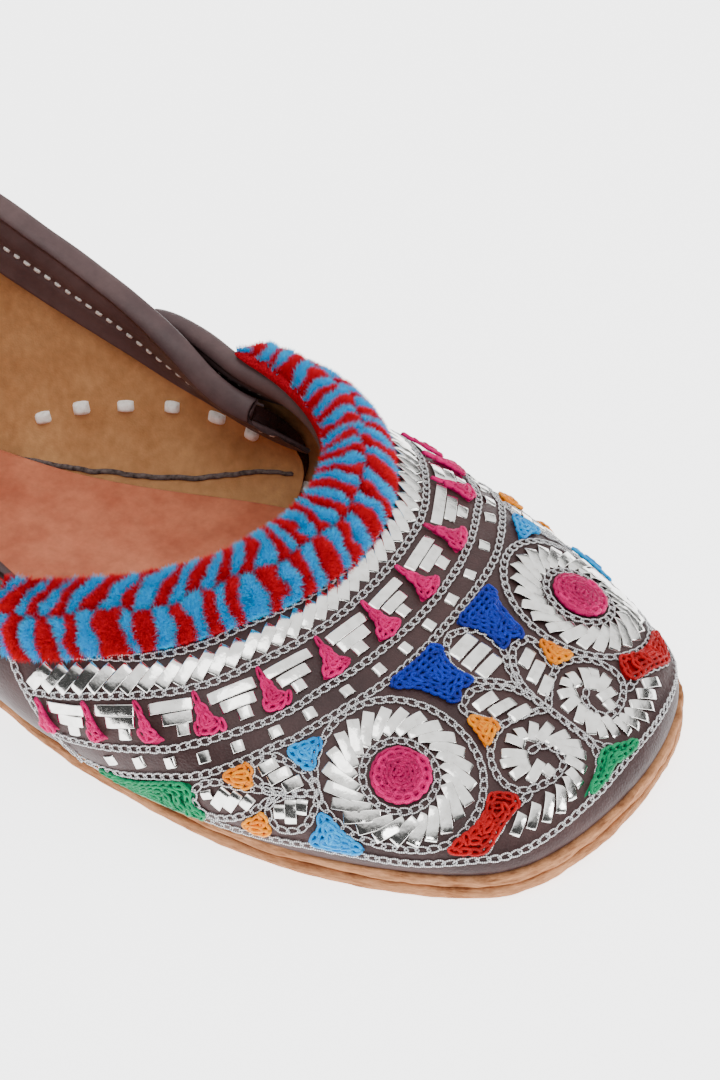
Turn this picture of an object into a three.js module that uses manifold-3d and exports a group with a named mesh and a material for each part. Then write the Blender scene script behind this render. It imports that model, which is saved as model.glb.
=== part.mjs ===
// A mojari: a flat slip-on leather shoe with a low embroidered vamp, a cut-pile braid around the
// throat, quarters tucked inside the vamp and a two-layer leather sole. Millimetres, +Z up, the toe
// towards -Y. The origin is on the floor under the middle of the sole.
import * as THREE from 'three';
import { mergeVertices } from 'three/addons/utils/BufferGeometryUtils.js';
import Module from 'manifold-3d';

const wasm = await Module();
wasm.setup();

// Driving sizes
const LENGTH = 245;
const BALL_WIDTH = 81.6;
const INSTEP_HEIGHT = 32.5;
const HEEL_HEIGHT = 61;
const OUTSOLE_THICKNESS = 2.2;
const MIDSOLE_THICKNESS = 2;
const TOE_SPRING = 1.6;
const SPRING_LENGTH = 24;
const ARCH_LIFT = 1.2;
const ARCH_START = 96;
const ARCH_END = 178;
const EDGE_ROUNDING = 0.4;
const UPPER_WALL = 1.8;
const LAP = 0.7;
const EMBROIDERY_RISE = 0.6;
const INSOLE_THICKNESS = 2;
const FEATHER_INSET = 3;
const TOE_SWING = 1;
const SWING_END = 0.4;
const MOUTH_SHIFT = 1.2;
const GAP = 0.3;
const CURVED_GAP = 0.45;
const PILE_WIDTH = 11.5;
const PILE_HEIGHT = 4.6;
const PILE_OVERHANG = 0.9;
const TUFT_PITCH = 2.9;
const TUFT_VALLEY = 0.34;
const BINDING_THICKNESS = 0.9;
const THROAT_BINDING_WIDTH = 9;
const COLLAR_BINDING_WIDTH = 13;
const EAR_FLARE = 2.6;
const EAR_DROP = 0.17;
const QUARTER_LEAN = 5;
const QUARTER_DROP = 0.2;

// Where the vamp, its field of embroidery, the pile and the quarters end, as shares of the way
// from the toe (0) round each side to the heel (1)
const VAMP_END_TOP = 0.445;
const VAMP_END_FEATHER = 0.49;
const FIELD_END = 0.385;
const FIELD_EDGE = 0.88;
const PILE_END = 0.39;
const QUARTER_FRONT_TOP = 0.36;
const QUARTER_FRONT_FEATHER = 0.4;
const THROAT_BINDING_END = 0.4;
const FLARE_START = 0.36;
const EAR_START = 0.385;
const LEAN_START = 0.46;
const LEAN_END = 0.37;
const DROP_START = 0.42;
const DROP_END = 0.36;
const INSOLE_NARROWS = 0.34;
const LEVEL_FROM = 0.7;

// Points round a sole outline, and stations along the vamp, the quarters and the pile
const SOLE_POINTS = 96;
const INSOLE_POINTS = 80;
const WALL_STATIONS = 60;
const PILE_STATIONS = 132;

// Sections at even steps from the toe to the heel. near, far: half widths of the sole, as shares
// of half the ball width. inset: share of the feather inset. mouthOut, mouthBack, climb: the top
// edge, as shares of half the ball width, of the length, and of the rise from instep to heel.
// lowOut, highOut: how far the wall swells beyond its foot and its top edge, as shares of half the
// ball width. lowUp, highDown: where it does so, as shares of the height of the top edge.
const COLUMNS = ['near', 'far', 'inset', 'mouthOut', 'mouthBack', 'climb',
  'lowOut', 'lowUp', 'highOut', 'highDown'];
const SECTIONS = [
  [0.00, 0.00, 1.0, 0.00, 0.259, 0.00, 0.08, 0.22, 0.54, 0.28],
  [0.64, 0.59, 1.0, 0.25, 0.266, 0.00, 0.09, 0.20, 0.54, 0.27],
  [0.89, 0.84, 0.8, 0.52, 0.294, -0.03, 0.14, 0.21, 0.37, 0.20],
  [1.00, 0.96, 0.6, 0.71, 0.339, -0.06, 0.18, 0.29, 0.21, 0.17],
  [0.88, 0.86, 0.5, 0.81, 0.410, -0.03, 0.22, 0.26, 0.12, 0.27],
  [0.58, 0.60, 0.5, 0.79, 0.530, 0.43, 0.20, 0.25, 0.05, 0.30],
  [0.60, 0.60, 0.5, 0.80, 0.658, 0.80, 0.15, 0.25, 0.05, 0.32],
  [0.67, 0.67, 0.5, 0.73, 0.774, 0.94, 0.10, 0.27, 0.05, 0.33],
  [0.67, 0.67, 0.5, 0.64, 0.870, 0.98, 0.10, 0.30, 0.05, 0.33],
  [0.45, 0.45, 0.5, 0.40, 0.937, 1.00, 0.10, 0.33, 0.05, 0.33],
  [0.00, 0.00, 0.5, 0.00, 0.959, 1.00, 0.10, 0.33, 0.05, 0.33],
].map((row) => Object.fromEntries(COLUMNS.map((name, i) => [name, row[i]])));

const HALF_BALL = BALL_WIDTH / 2;
const SOLE_TOP = OUTSOLE_THICKNESS + GAP + MIDSOLE_THICKNESS;
const SEAT = SOLE_TOP + GAP;
const STEP = 1e-3;

const clamp = (value, low, high) => Math.min(high, Math.max(low, value));
const mix = (from, to, share) => from + (to - from) * share;

// Smooth ramp from 0 to 1
function ease(value) {
  const x = clamp(value, 0, 1);
  return x * x * (3 - 2 * x);
}

// Value of one column at a share of the way from toe to heel, on a smooth curve through the rows.
// A column that changes sign across the toe and the heel is mirrored with its sign turned.
function section(column, share, odd = false) {
  const end = SECTIONS.length - 1;
  const turn = odd ? -1 : 1;
  const row = (i) => {
    if (i < 0) return turn * SECTIONS[-i][column];
    if (i > end) return turn * SECTIONS[2 * end - i][column];
    return SECTIONS[i][column];
  };
  const place = clamp(share, 0, 1) * end;
  const i = Math.min(Math.floor(place), end - 1);
  const f = place - i;
  const [a, b, c, d] = [row(i - 1), row(i), row(i + 1), row(i + 2)];
  return b + 0.5 * f * (c - a + f * (2 * a - 5 * b + 4 * c - d + f * (3 * (b - c) + d - a)));
}

// The sole's outline. w runs from -1 at the heel along the near side (-X) to 0 at the toe, and
// along the far side to 1 at the heel.
function rim(w) {
  const u = Math.abs(w);
  const half = section(w < 0 ? 'near' : 'far', u, true) * HALF_BALL;
  const swing = TOE_SWING * clamp(1 - u / SWING_END, 0, 1) ** 2;
  return new THREE.Vector3(Math.sign(w) * half + swing, -0.5 * LENGTH * Math.cos(Math.PI * u), 0);
}

// Outward normal of the outline, level
function outward(w) {
  const along = rim(Math.min(w + STEP, 1)).sub(rim(Math.max(w - STEP, -1)));
  return new THREE.Vector3(along.y, -along.x, 0).normalize();
}

// The outline moved inwards
const inset = (w, distance) => rim(w).addScaledVector(outward(w), -distance);

// How far the sole is bent up off the floor at y: the toe spring and the arch
function lift(y) {
  const back = y + LENGTH / 2;
  const spring = TOE_SPRING * clamp(1 - back / SPRING_LENGTH, 0, 1) ** 2;
  const along = clamp((back - ARCH_START) / (ARCH_END - ARCH_START), 0, 1);
  return spring + ARCH_LIFT * Math.sin(Math.PI * along) ** 2;
}

// The lasted surface: t runs from 0 at the top edge to 1 at the feather edge, where the wall
// meets the sole, on a cubic curve that swells over the sole's edge.
function last(w, t) {
  const u = Math.abs(w);
  const n = outward(w);
  const up = new THREE.Vector3(0, 0, 1);
  const height = INSTEP_HEIGHT + (HEEL_HEIGHT - INSTEP_HEIGHT) * section('climb', u);
  const foot = inset(w, section('inset', u) * FEATHER_INSET).setZ(SEAT);
  const mouth = new THREE.Vector3(
    Math.sign(w) * section('mouthOut', u, true) * HALF_BALL + MOUTH_SHIFT * clamp(1 - 2 * u, 0, 1),
    section('mouthBack', u) * LENGTH - LENGTH / 2,
    height,
  );
  const low = foot.clone().addScaledVector(n, section('lowOut', u) * HALF_BALL)
    .addScaledVector(up, section('lowUp', u) * height);
  const high = mouth.clone().addScaledVector(n, section('highOut', u) * HALF_BALL)
    .addScaledVector(up, -section('highDown', u) * height);
  return new THREE.CubicBezierCurve3(mouth, high, low, foot).getPoint(t);
}

// Outward normal of a surface of (w, t), levelled towards the feather edge so that the wall
// stands flat on the sole
function facing(surface, w, t) {
  const along = surface(Math.min(w + STEP, 1), t).sub(surface(Math.max(w - STEP, -1), t));
  const down = surface(w, Math.min(t + STEP, 1)).sub(surface(w, Math.max(t - STEP, 0)));
  const normal = down.cross(along).normalize();
  return normal.lerp(outward(w), ease((t - LEVEL_FROM) / (1 - LEVEL_FROM))).normalize();
}

const offset = (surface, w, t, distance) =>
  surface(w, t).addScaledVector(facing(surface, w, t), distance);

// The vamp's inner face: its rear top corners are rounded off and stand a little off the quarters
function vampFace(w, t) {
  const u = Math.abs(w);
  const flare = EAR_FLARE * ease((u - FLARE_START) / (VAMP_END_TOP - FLARE_START)) * (1 - t) ** 2;
  const drop = EAR_DROP * clamp((u - EAR_START) / (VAMP_END_TOP - EAR_START), 0, 1) ** 2;
  return last(w, drop * (1 - t) + t).addScaledVector(outward(w), flare);
}

// The quarters' outer face: their front ends lean inwards and dip, inside the vamp
function quarterFace(w, t) {
  const u = Math.abs(w);
  const lean = QUARTER_LEAN * ease((LEAN_START - u) / (LEAN_START - LEAN_END)) * (1 - t) ** 1.5;
  const drop = QUARTER_DROP * ease((DROP_START - u) / (DROP_START - DROP_END));
  return last(w, drop * (1 - t) + t).addScaledVector(outward(w), -lean);
}

// Distance down the surface from the top edge, turned into t
function tAt(surface, w, distance) {
  const steps = 40;
  let walked = 0;
  let from = surface(w, 0);
  for (let i = 1; i <= steps; i += 1) {
    const to = surface(w, i / steps);
    const stride = to.distanceTo(from);
    if (walked + stride >= distance) return (i - 1 + (distance - walked) / stride) / steps;
    walked += stride;
    from = to;
  }
  return 1;
}

// A closed solid from rings of points, every ring with as many points as the others. The rings
// are joined in order; where they don't close on the first one, both ends are capped.
function fromRings(rings, loop = false) {
  const count = rings[0].length;
  const positions = rings.flat().flatMap((p) => [p.x, p.y, p.z + lift(p.y)]);
  const faces = [];
  const spans = loop ? rings.length : rings.length - 1;
  for (let i = 0; i < spans; i += 1) {
    const here = i * count;
    const next = ((i + 1) % rings.length) * count;
    for (let j = 0; j < count; j += 1) {
      const k = (j + 1) % count;
      faces.push(here + j, next + j, next + k, here + j, next + k, here + k);
    }
  }
  if (!loop) {
    const tail = (rings.length - 1) * count;
    capStrip(faces, 0, count, false);
    capStrip(faces, tail, count, true);
  }
  return closed(positions, faces);
}

// A cap of strips between the two halves of a ring, point against opposite point
function capStrip(faces, start, count, turned) {
  for (let j = 0; j < count / 2 - 1; j += 1) {
    const [a, b] = [start + j, start + j + 1];
    const [c, d] = [start + count - 1 - j, start + count - 2 - j];
    const pair = turned ? [[a, c, b], [b, c, d]] : [[a, b, c], [b, d, c]];
    pair.forEach((face) => {
      if (new Set(face).size === 3) faces.push(...face);
    });
  }
}

// An indexed geometry with shared points merged, its faces turned outwards
function closed(positions, faces) {
  const geometry = new THREE.BufferGeometry();
  geometry.setAttribute('position', new THREE.Float32BufferAttribute(positions, 3));
  geometry.setIndex(faces);
  const merged = mergeVertices(geometry, 1e-4);
  const index = [];
  const old = merged.index.array;
  for (let i = 0; i < old.length; i += 3) {
    const [a, b, c] = [old[i], old[i + 1], old[i + 2]];
    if (a !== b && b !== c && c !== a) index.push(a, b, c);
  }
  if (volume(merged.attributes.position.array, index) < 0) {
    for (let i = 0; i < index.length; i += 3) {
      [index[i + 1], index[i + 2]] = [index[i + 2], index[i + 1]];
    }
  }
  merged.setIndex(index);
  return merged;
}

function volume(xyz, index) {
  const corner = (i) => new THREE.Vector3().fromArray(xyz, 3 * i);
  let sum = 0;
  for (let i = 0; i < index.length; i += 3) {
    sum += corner(index[i]).dot(corner(index[i + 1]).cross(corner(index[i + 2])));
  }
  return sum / 6;
}

function toManifold(geometry) {
  return new wasm.Manifold(new wasm.Mesh({
    numProp: 3,
    vertProperties: Float32Array.from(geometry.attributes.position.array),
    triVerts: Uint32Array.from(geometry.index.array),
  }));
}

function fromManifold(solid) {
  const mesh = solid.getMesh();
  const geometry = new THREE.BufferGeometry();
  geometry.setAttribute('position', new THREE.BufferAttribute(mesh.vertProperties, 3));
  geometry.setIndex(Array.from(mesh.triVerts));
  return geometry;
}

// One layer of the sole between two heights, with its upper and lower edges broken
function soleLayer(bottom, top) {
  const levels = [
    [bottom, EDGE_ROUNDING],
    [bottom + EDGE_ROUNDING, 0],
    [top - EDGE_ROUNDING, 0],
    [top, EDGE_ROUNDING],
  ];
  return plate(levels, SOLE_POINTS);
}

// A plate whose outline follows the sole's, from a list of [height, inset] levels. An inset may be
// a number or a function of w.
function plate(levels, points) {
  const rings = levels.map(([z, distance]) => {
    const ring = [];
    for (let i = 0; i < points; i += 1) {
      const w = 1 - (2 * (i + 0.5)) / points;
      const d = typeof distance === 'function' ? distance(w) : distance;
      ring.push(inset(w, d).setZ(z));
    }
    return ring;
  });
  return fromRings(rings);
}

// A wall between two faces over a grid: ws is a list of stations, each a function of t, and ts
// the heights' t. Each station gives one ring: down the outer face and up the inner one.
function wall(stations, ts, outer, inner) {
  const rings = stations.map((station) => {
    const down = ts.map((t) => outer(station(t), t));
    const up = ts.map((t) => inner(station(t), t)).reverse();
    return [...down, ...up];
  });
  return fromRings(rings);
}

// Stations of the vamp from one rear edge round the toe to the other, and of the quarters from one
// front edge round the heel to the other. Each gives w at a height t.
const FIELD_ROWS = [0, 0.07, 0.15, 0.24, 0.33, 0.42, 0.52, 0.62, 0.71, 0.8, FIELD_EDGE];
const VAMP_ROWS = [...FIELD_ROWS, FIELD_EDGE + 0.02, 0.95, 1];
const QUARTER_ROWS = [0, 0.1, 0.2, 0.3, 0.45, 0.6, 0.8, 1];
const vampStation = (a) => (t) => a * mix(VAMP_END_TOP, VAMP_END_FEATHER, t);
const quarterStation = (a) => (t) =>
  (a < 0 ? -1 : 1) * (1 - (1 - mix(QUARTER_FRONT_TOP, QUARTER_FRONT_FEATHER, t)) * Math.abs(a));
const evenly = (columns, station, reach = 1) =>
  Array.from({ length: columns + 1 }, (_, i) => (2 * i) / columns - 1)
    .filter((a) => Math.abs(a) <= reach).map(station);

function vamp() {
  const outer = (w, t) => {
    const raised = t <= FIELD_EDGE && Math.abs(w) < FIELD_END;
    return offset(vampFace, w, t, UPPER_WALL + (raised ? EMBROIDERY_RISE : 0));
  };
  return wall(evenly(WALL_STATIONS, vampStation), VAMP_ROWS, outer, vampFace);
}

function quarters() {
  const outer = (w, t) => offset(quarterFace, w, t, LAP);
  const inner = (w, t) => offset(quarterFace, w, t, -UPPER_WALL);
  return wall(evenly(WALL_STATIONS, quarterStation), QUARTER_ROWS, outer, inner);
}

// The two joined where they lap. A pocket that the lap seals off is left out, so it is solid.
function upper() {
  const joined = toManifold(vamp()).add(toManifold(quarters()));
  const bodies = joined.decompose().sort((a, b) => b.volume() - a.volume());
  return fromManifold(bodies[0]);
}

// Length of the throat edge from the toe's middle to w, signed
function throatLength(w) {
  const steps = 30;
  let length = 0;
  let from = last(0, 0);
  for (let i = 1; i <= steps; i += 1) {
    const to = last((w * i) / steps, 0);
    length += to.distanceTo(from);
    from = to;
  }
  return Math.sign(w) * length;
}

// The cut-pile braid: a domed strip on the vamp along the throat, of two staggered rows of
// slanted tufts with valleys between them
function throatPile() {
  const tops = [0, 0.13, 0.3, 0.5, 0.7, 0.87, 1];
  const bottoms = [0.66, 0.33];
  const rise = UPPER_WALL + EMBROIDERY_RISE + GAP;
  const spot = (w, b, height) => {
    const distance = mix(-PILE_OVERHANG, PILE_WIDTH - PILE_OVERHANG, b);
    if (distance >= 0) return offset(vampFace, w, tAt(vampFace, w, distance), rise + height);
    const back = vampFace(w, 0).sub(vampFace(w, 0.02)).normalize();
    return offset(vampFace, w, 0, rise + height).addScaledVector(back, -distance);
  };
  const rings = [];
  for (let i = 0; i <= PILE_STATIONS; i += 1) {
    const w = PILE_END * ((2 * i) / PILE_STATIONS - 1);
    const along = throatLength(w);
    const taper = ease((PILE_END - Math.abs(w)) / 0.012) * 0.4 + 0.6;
    const crown = (b) => {
      const row = b < 0.5 ? 0 : 0.5;
      const tuft = 0.5 + 0.5 * Math.cos(2 * Math.PI * (along / TUFT_PITCH + 0.9 * b + row));
      const dome = Math.sin(Math.PI * mix(0.06, 0.94, b)) ** 0.6;
      const parting = 1 - 0.12 * (1 - Math.min(1, Math.abs(b - 0.5) / 0.12));
      return PILE_HEIGHT * taper * dome * parting * (1 - TUFT_VALLEY * (1 - tuft));
    };
    const top = tops.map((b) => spot(w, b, crown(b)));
    const bottom = bottoms.map((b) => spot(w, b, 0));
    rings.push([...top, ...bottom, spot(w, 0, 0)]);
  }
  return fromRings(rings);
}

// A folded strip inside a face, from its top edge down to a width, on the stations of the wall
// that it lines
function binding(face, depth, width, stations) {
  const rings = stations.map((station) => {
    const end = tAt(face, station(0), width);
    const ts = [0, end / 2, end];
    const down = ts.map((t) => offset(face, station(t), t, -depth));
    const up = ts.map((t) => offset(face, station(t), t, -depth - BINDING_THICKNESS)).reverse();
    return [...down, ...up];
  });
  return fromRings(rings);
}

const throatBinding = () => binding(vampFace, CURVED_GAP, THROAT_BINDING_WIDTH,
  evenly(WALL_STATIONS, vampStation, THROAT_BINDING_END / VAMP_END_TOP));

const collarBinding = () => binding(quarterFace, UPPER_WALL + CURVED_GAP, COLLAR_BINDING_WIDTH,
  evenly(WALL_STATIONS, quarterStation));

function insole() {
  const wallAt = (w) => section('inset', Math.abs(w)) * FEATHER_INSET + GAP
    + UPPER_WALL * ease((Math.abs(w) - INSOLE_NARROWS) / 0.05);
  const levels = [
    [SEAT, wallAt],
    [SEAT + INSOLE_THICKNESS - EDGE_ROUNDING, wallAt],
    [SEAT + INSOLE_THICKNESS, (w) => wallAt(w) + EDGE_ROUNDING],
  ];
  return plate(levels, INSOLE_POINTS);
}

function leather(color, roughness) {
  return new THREE.MeshStandardMaterial({ color, roughness, metalness: 0 });
}

const TAN_SOLE = leather(0xc79c76, 0.75);
const BROWN = leather(0x46302e, 0.55);
const TERRACOTTA = leather(0xc88267, 0.7);
const PILE_RED = leather(0xc81428, 0.95);

const shoe = new THREE.Group();

function add(name, geometry, material) {
  const mesh = new THREE.Mesh(geometry, material);
  mesh.name = name;
  shoe.add(mesh);
}

add('outsole', soleLayer(0, OUTSOLE_THICKNESS), TAN_SOLE);
add('midsole', soleLayer(OUTSOLE_THICKNESS + GAP, SOLE_TOP), TAN_SOLE);
add('insole', insole(), TERRACOTTA);
add('upper', upper(), BROWN);
add('throat_pile', throatPile(), PILE_RED);
add('throat_binding', throatBinding(), BROWN);
add('collar_binding', collarBinding(), BROWN);

// The origin lies on the floor under the middle of the whole shoe
const middle = new THREE.Box3().setFromObject(shoe).getCenter(new THREE.Vector3());
shoe.position.set(-middle.x, -middle.y, 0);

export default shoe;
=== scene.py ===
"""The looks of an embroidered mojari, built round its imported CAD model.

Lengths are in millimetres until a mesh is made, where they become metres in the CAD's frame:
+Z up, the toe towards -Y, +X to the wearer's left. Surfaces are functions of two numbers:
w runs from -1 at the heel along the near side (-X) to 0 at the toe and along the far side to 1 at
the heel; t runs from 0 at the top edge to 1 at the feather edge, where the wall meets the sole.
"""

import math

import bpy
import numpy as np
from mathutils import Matrix, Vector


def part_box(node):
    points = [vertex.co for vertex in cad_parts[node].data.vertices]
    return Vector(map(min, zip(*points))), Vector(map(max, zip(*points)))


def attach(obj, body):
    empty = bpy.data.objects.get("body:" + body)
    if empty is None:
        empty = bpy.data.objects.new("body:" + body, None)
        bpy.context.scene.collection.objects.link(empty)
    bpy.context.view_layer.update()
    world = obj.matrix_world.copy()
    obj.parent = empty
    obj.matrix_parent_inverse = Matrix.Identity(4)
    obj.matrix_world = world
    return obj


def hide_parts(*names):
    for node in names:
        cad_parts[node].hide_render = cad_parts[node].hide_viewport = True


MM = 0.001

# Sizes shared with the CAD source
LENGTH = 245.0
HALF_BALL = 81.6 / 2
INSTEP_HEIGHT = 32.5
HEEL_HEIGHT = 61.0
OUTSOLE_THICKNESS = 2.2
SOLE_TOP = 4.5
SEAT = 4.8
TOE_SPRING = 1.6
SPRING_LENGTH = 24.0
ARCH_LIFT = 1.2
ARCH_START = 96.0
ARCH_END = 178.0
UPPER_WALL = 1.8
LAP = 0.7
INSOLE_THICKNESS = 2.0
FEATHER_INSET = 3.0
TOE_SWING = 1.0
MOUTH_SHIFT = 1.2
VAMP_END_TOP = 0.445
VAMP_END_FEATHER = 0.49
QUARTER_FRONT_TOP = 0.36
QUARTER_FRONT_FEATHER = 0.4
EAR_FLARE = 2.6
EAR_DROP = 0.17
QUARTER_LEAN = 5.0
QUARTER_DROP = 0.2
PILE_END = 0.39

# The CAD source's sections, at even steps from the toe to the heel
COLUMNS = "near far inset mouth_out mouth_back climb low_out low_up high_out high_down".split()
SECTIONS = dict(zip(COLUMNS, np.array([
    [0.00, 0.00, 1.0, 0.00, 0.259, 0.00, 0.08, 0.22, 0.54, 0.28],
    [0.64, 0.59, 1.0, 0.25, 0.266, 0.00, 0.09, 0.20, 0.54, 0.27],
    [0.89, 0.84, 0.8, 0.52, 0.294, -0.03, 0.14, 0.21, 0.37, 0.20],
    [1.00, 0.96, 0.6, 0.71, 0.339, -0.06, 0.18, 0.29, 0.21, 0.17],
    [0.88, 0.86, 0.5, 0.81, 0.410, -0.03, 0.22, 0.26, 0.12, 0.27],
    [0.58, 0.60, 0.5, 0.79, 0.530, 0.43, 0.20, 0.25, 0.05, 0.30],
    [0.60, 0.60, 0.5, 0.80, 0.658, 0.80, 0.15, 0.25, 0.05, 0.32],
    [0.67, 0.67, 0.5, 0.73, 0.774, 0.94, 0.10, 0.27, 0.05, 0.33],
    [0.67, 0.67, 0.5, 0.64, 0.870, 0.98, 0.10, 0.30, 0.05, 0.33],
    [0.45, 0.45, 0.5, 0.40, 0.937, 1.00, 0.10, 0.33, 0.05, 0.33],
    [0.00, 0.00, 0.5, 0.00, 0.959, 1.00, 0.10, 0.33, 0.05, 0.33],
]).T))


def ease(x):
    """Smooth ramp: 3x^2 - 2x^3 between 0 and 1, level outside."""
    x = np.clip(x, 0, 1)
    return x * x * (3 - 2 * x)


def dot(a, b):
    """Scalar product along the last axis."""
    return np.sum(a * b, -1)


def unit(v):
    """v divided by its length, along the last axis."""
    return v / np.linalg.norm(v, axis=-1, keepdims=True)


def section(name, u, odd=False):
    """A column of SECTIONS at share u of the way from toe to heel, on a Catmull-Rom curve whose
    ends are mirrored, with the sign turned for a column that changes sign there."""
    column = SECTIONS[name]
    last_row = len(column) - 1
    turn = -1 if odd else 1
    ends = np.concatenate([[turn * column[1]], column, [turn * column[last_row - 1]]])
    place = np.clip(u, 0, 1) * last_row
    i = np.minimum(place.astype(int), last_row - 1)
    f = place - i
    a, b, c, d = ends[i], ends[i + 1], ends[i + 2], ends[i + 3]
    return b + 0.5 * f * (c - a + f * (2 * a - 5 * b + 4 * c - d + f * (3 * (b - c) + d - a)))


def rim(w):
    """The sole's outline: x = half width(|w|) + swing, y = -LENGTH/2 * cos(pi |w|)."""
    u = np.abs(w)
    half = np.where(w < 0, section("near", u, True), section("far", u, True)) * HALF_BALL
    swing = TOE_SWING * np.clip(1 - u / 0.4, 0, 1) ** 2
    return np.stack([np.sign(w) * half + swing, -LENGTH / 2 * np.cos(np.pi * u), 0 * u], -1)


def outward(w):
    """Level outward normal of the outline: its slope by central difference, turned by 90 degrees."""
    along = rim(np.minimum(w + 1e-3, 1)) - rim(np.maximum(w - 1e-3, -1))
    return unit(np.stack([along[..., 1], -along[..., 0], 0 * along[..., 0]], -1))


def lift(y):
    """How far the sole is bent up at y: a parabola at the toe and a sine-squared arch."""
    back = y + LENGTH / 2
    spring = TOE_SPRING * np.clip(1 - back / SPRING_LENGTH, 0, 1) ** 2
    along = np.clip((back - ARCH_START) / (ARCH_END - ARCH_START), 0, 1)
    return spring + ARCH_LIFT * np.sin(np.pi * along) ** 2


def last(w, t):
    """The lasted surface: a cubic Bezier curve in t from the top edge to the foot of the wall."""
    u = np.abs(w)
    n = outward(w)
    height = INSTEP_HEIGHT + (HEEL_HEIGHT - INSTEP_HEIGHT) * section("climb", u)
    foot = rim(w) - n * (section("inset", u) * FEATHER_INSET)[..., None]
    foot[..., 2] = SEAT
    mouth_x = np.sign(w) * section("mouth_out", u, True) * HALF_BALL
    mouth_x = mouth_x + MOUTH_SHIFT * np.clip(1 - 2 * u, 0, 1)
    mouth = np.stack([mouth_x, section("mouth_back", u) * LENGTH - LENGTH / 2, height], -1)
    low = foot + n * (section("low_out", u) * HALF_BALL)[..., None]
    low[..., 2] += section("low_up", u) * height
    high = mouth + n * (section("high_out", u) * HALF_BALL)[..., None]
    high[..., 2] -= section("high_down", u) * height
    k = t[..., None]
    return ((1 - k) ** 3 * mouth + 3 * (1 - k) ** 2 * k * high
            + 3 * (1 - k) * k * k * low + k ** 3 * foot)


def vamp_face(w, t):
    """The vamp's inner face: the last, with rounded rear corners that flare outwards."""
    u = np.abs(w)
    flare = EAR_FLARE * ease((u - 0.36) / (VAMP_END_TOP - 0.36)) * (1 - t) ** 2
    drop = EAR_DROP * np.clip((u - 0.385) / (VAMP_END_TOP - 0.385), 0, 1) ** 2
    return last(w, drop * (1 - t) + t) + outward(w) * flare[..., None]


def quarter_face(w, t):
    """The quarters' outer face: the last, with front ends that lean inwards and dip."""
    u = np.abs(w)
    lean = QUARTER_LEAN * ease((0.46 - u) / 0.09) * (1 - t) ** 1.5
    drop = QUARTER_DROP * ease((0.42 - u) / 0.06)
    return last(w, drop * (1 - t) + t) - outward(w) * lean[..., None]


class Surface:
    """One of the faces above with heights measured in millimetres down from its top edge."""

    def __init__(self, face, low, high, offset=0.0):
        self.face = face
        self.offset = offset
        self.ws = np.linspace(low, high, 601)
        steps = np.linspace(0, 1, 241)
        grid = self.raw(*np.broadcast_arrays(self.ws[:, None], steps[None, :]))
        stride = np.linalg.norm(np.diff(grid, axis=1), axis=-1)
        walked = np.concatenate([np.zeros((len(self.ws), 1)), np.cumsum(stride, 1)], 1)
        self.reach_table = walked[:, -1]
        self.share = np.linspace(0, 1, 241)
        self.ts = np.stack([np.interp(self.share * row[-1], row, steps) for row in walked])

    def normal(self, w, t):
        """Outward normal: down x along by central differences, levelled near the foot."""
        along = self.face(w + 1e-3, t) - self.face(w - 1e-3, t)
        down = self.face(w, np.minimum(t + 1e-3, 1)) - self.face(w, np.maximum(t - 1e-3, 0))
        k = ease((t - 0.7) / 0.3)[..., None]
        return unit(unit(np.cross(down, along)) * (1 - k) + outward(w) * k)

    def raw(self, w, t, out=0.0):
        """The face moved out along its normal, before the sole's lift."""
        distance = np.asarray(self.offset + out)
        return self.face(w, t) + self.normal(w, t) * distance[..., None]

    def at_t(self, w, t, out=0.0):
        """A point by its t, with the sole's lift."""
        w, t, out = np.broadcast_arrays(*(np.asarray(v, float) for v in (w, t, out)))
        p = self.raw(w, t, out).copy()
        p[..., 2] += lift(p[..., 1])
        return p

    def reach(self, w):
        """Length of the section at w, from the top edge to the foot."""
        return np.interp(w, self.ws, self.reach_table)

    def t(self, w, s):
        """t at distance s below the top edge, from the tables."""
        x = (w - self.ws[0]) / (self.ws[-1] - self.ws[0]) * (len(self.ws) - 1)
        i = np.clip(x.astype(int), 0, len(self.ws) - 2)
        f = np.clip(x - i, 0, 1)
        y = np.clip(s / self.reach(w), 0, 1) * 240
        j = np.clip(y.astype(int), 0, 239)
        g = y - j
        table = self.ts
        return ((1 - f) * ((1 - g) * table[i, j] + g * table[i, j + 1])
                + f * ((1 - g) * table[i + 1, j] + g * table[i + 1, j + 1]))

    def at(self, w, s, out=0.0):
        """A point s below the top edge and out from the face. s may be a little below 0."""
        w, s, out = np.broadcast_arrays(*(np.asarray(v, float) for v in (w, s, out)))
        t = self.t(w, np.maximum(s, 0))
        p = self.at_t(w, t, out)
        above = np.minimum(s, 0)
        if np.any(above < 0):
            down = unit(self.face(w, 0 * t + 0.02) - self.face(w, 0 * t))
            p = p + down * above[..., None]
        return p

    def frames(self, w, s):
        """Rows of unit vectors at (w, s): along +w, down +s, and the normal."""
        step = 0.15
        across = self.at(w, s + step) - self.at(w, s - step)
        t = self.t(w, s)
        n = self.normal(w, t)
        down = unit(across - n * np.sum(across * n, -1, keepdims=True))
        return np.stack([np.cross(n, down), down, n], -2)


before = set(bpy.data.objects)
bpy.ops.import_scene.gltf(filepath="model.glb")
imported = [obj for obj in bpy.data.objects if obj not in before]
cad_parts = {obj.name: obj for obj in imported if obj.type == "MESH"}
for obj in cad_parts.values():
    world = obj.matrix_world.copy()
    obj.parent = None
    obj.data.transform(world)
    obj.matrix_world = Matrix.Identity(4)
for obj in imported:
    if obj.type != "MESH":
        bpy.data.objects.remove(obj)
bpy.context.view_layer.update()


def cad_shift():
    """How far the CAD source moved the shoe to centre it: its outsole against the same outline."""
    w = 1 - 2 * (np.arange(96) + 0.5) / 96
    outline = rim(w)
    low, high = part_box("outsole")
    middle = (np.array(low) + np.array(high))[:2] / 2 / MM
    return np.append(middle - (outline.min(0) + outline.max(0))[:2] / 2, 0)


SHIFT = cad_shift()


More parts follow.
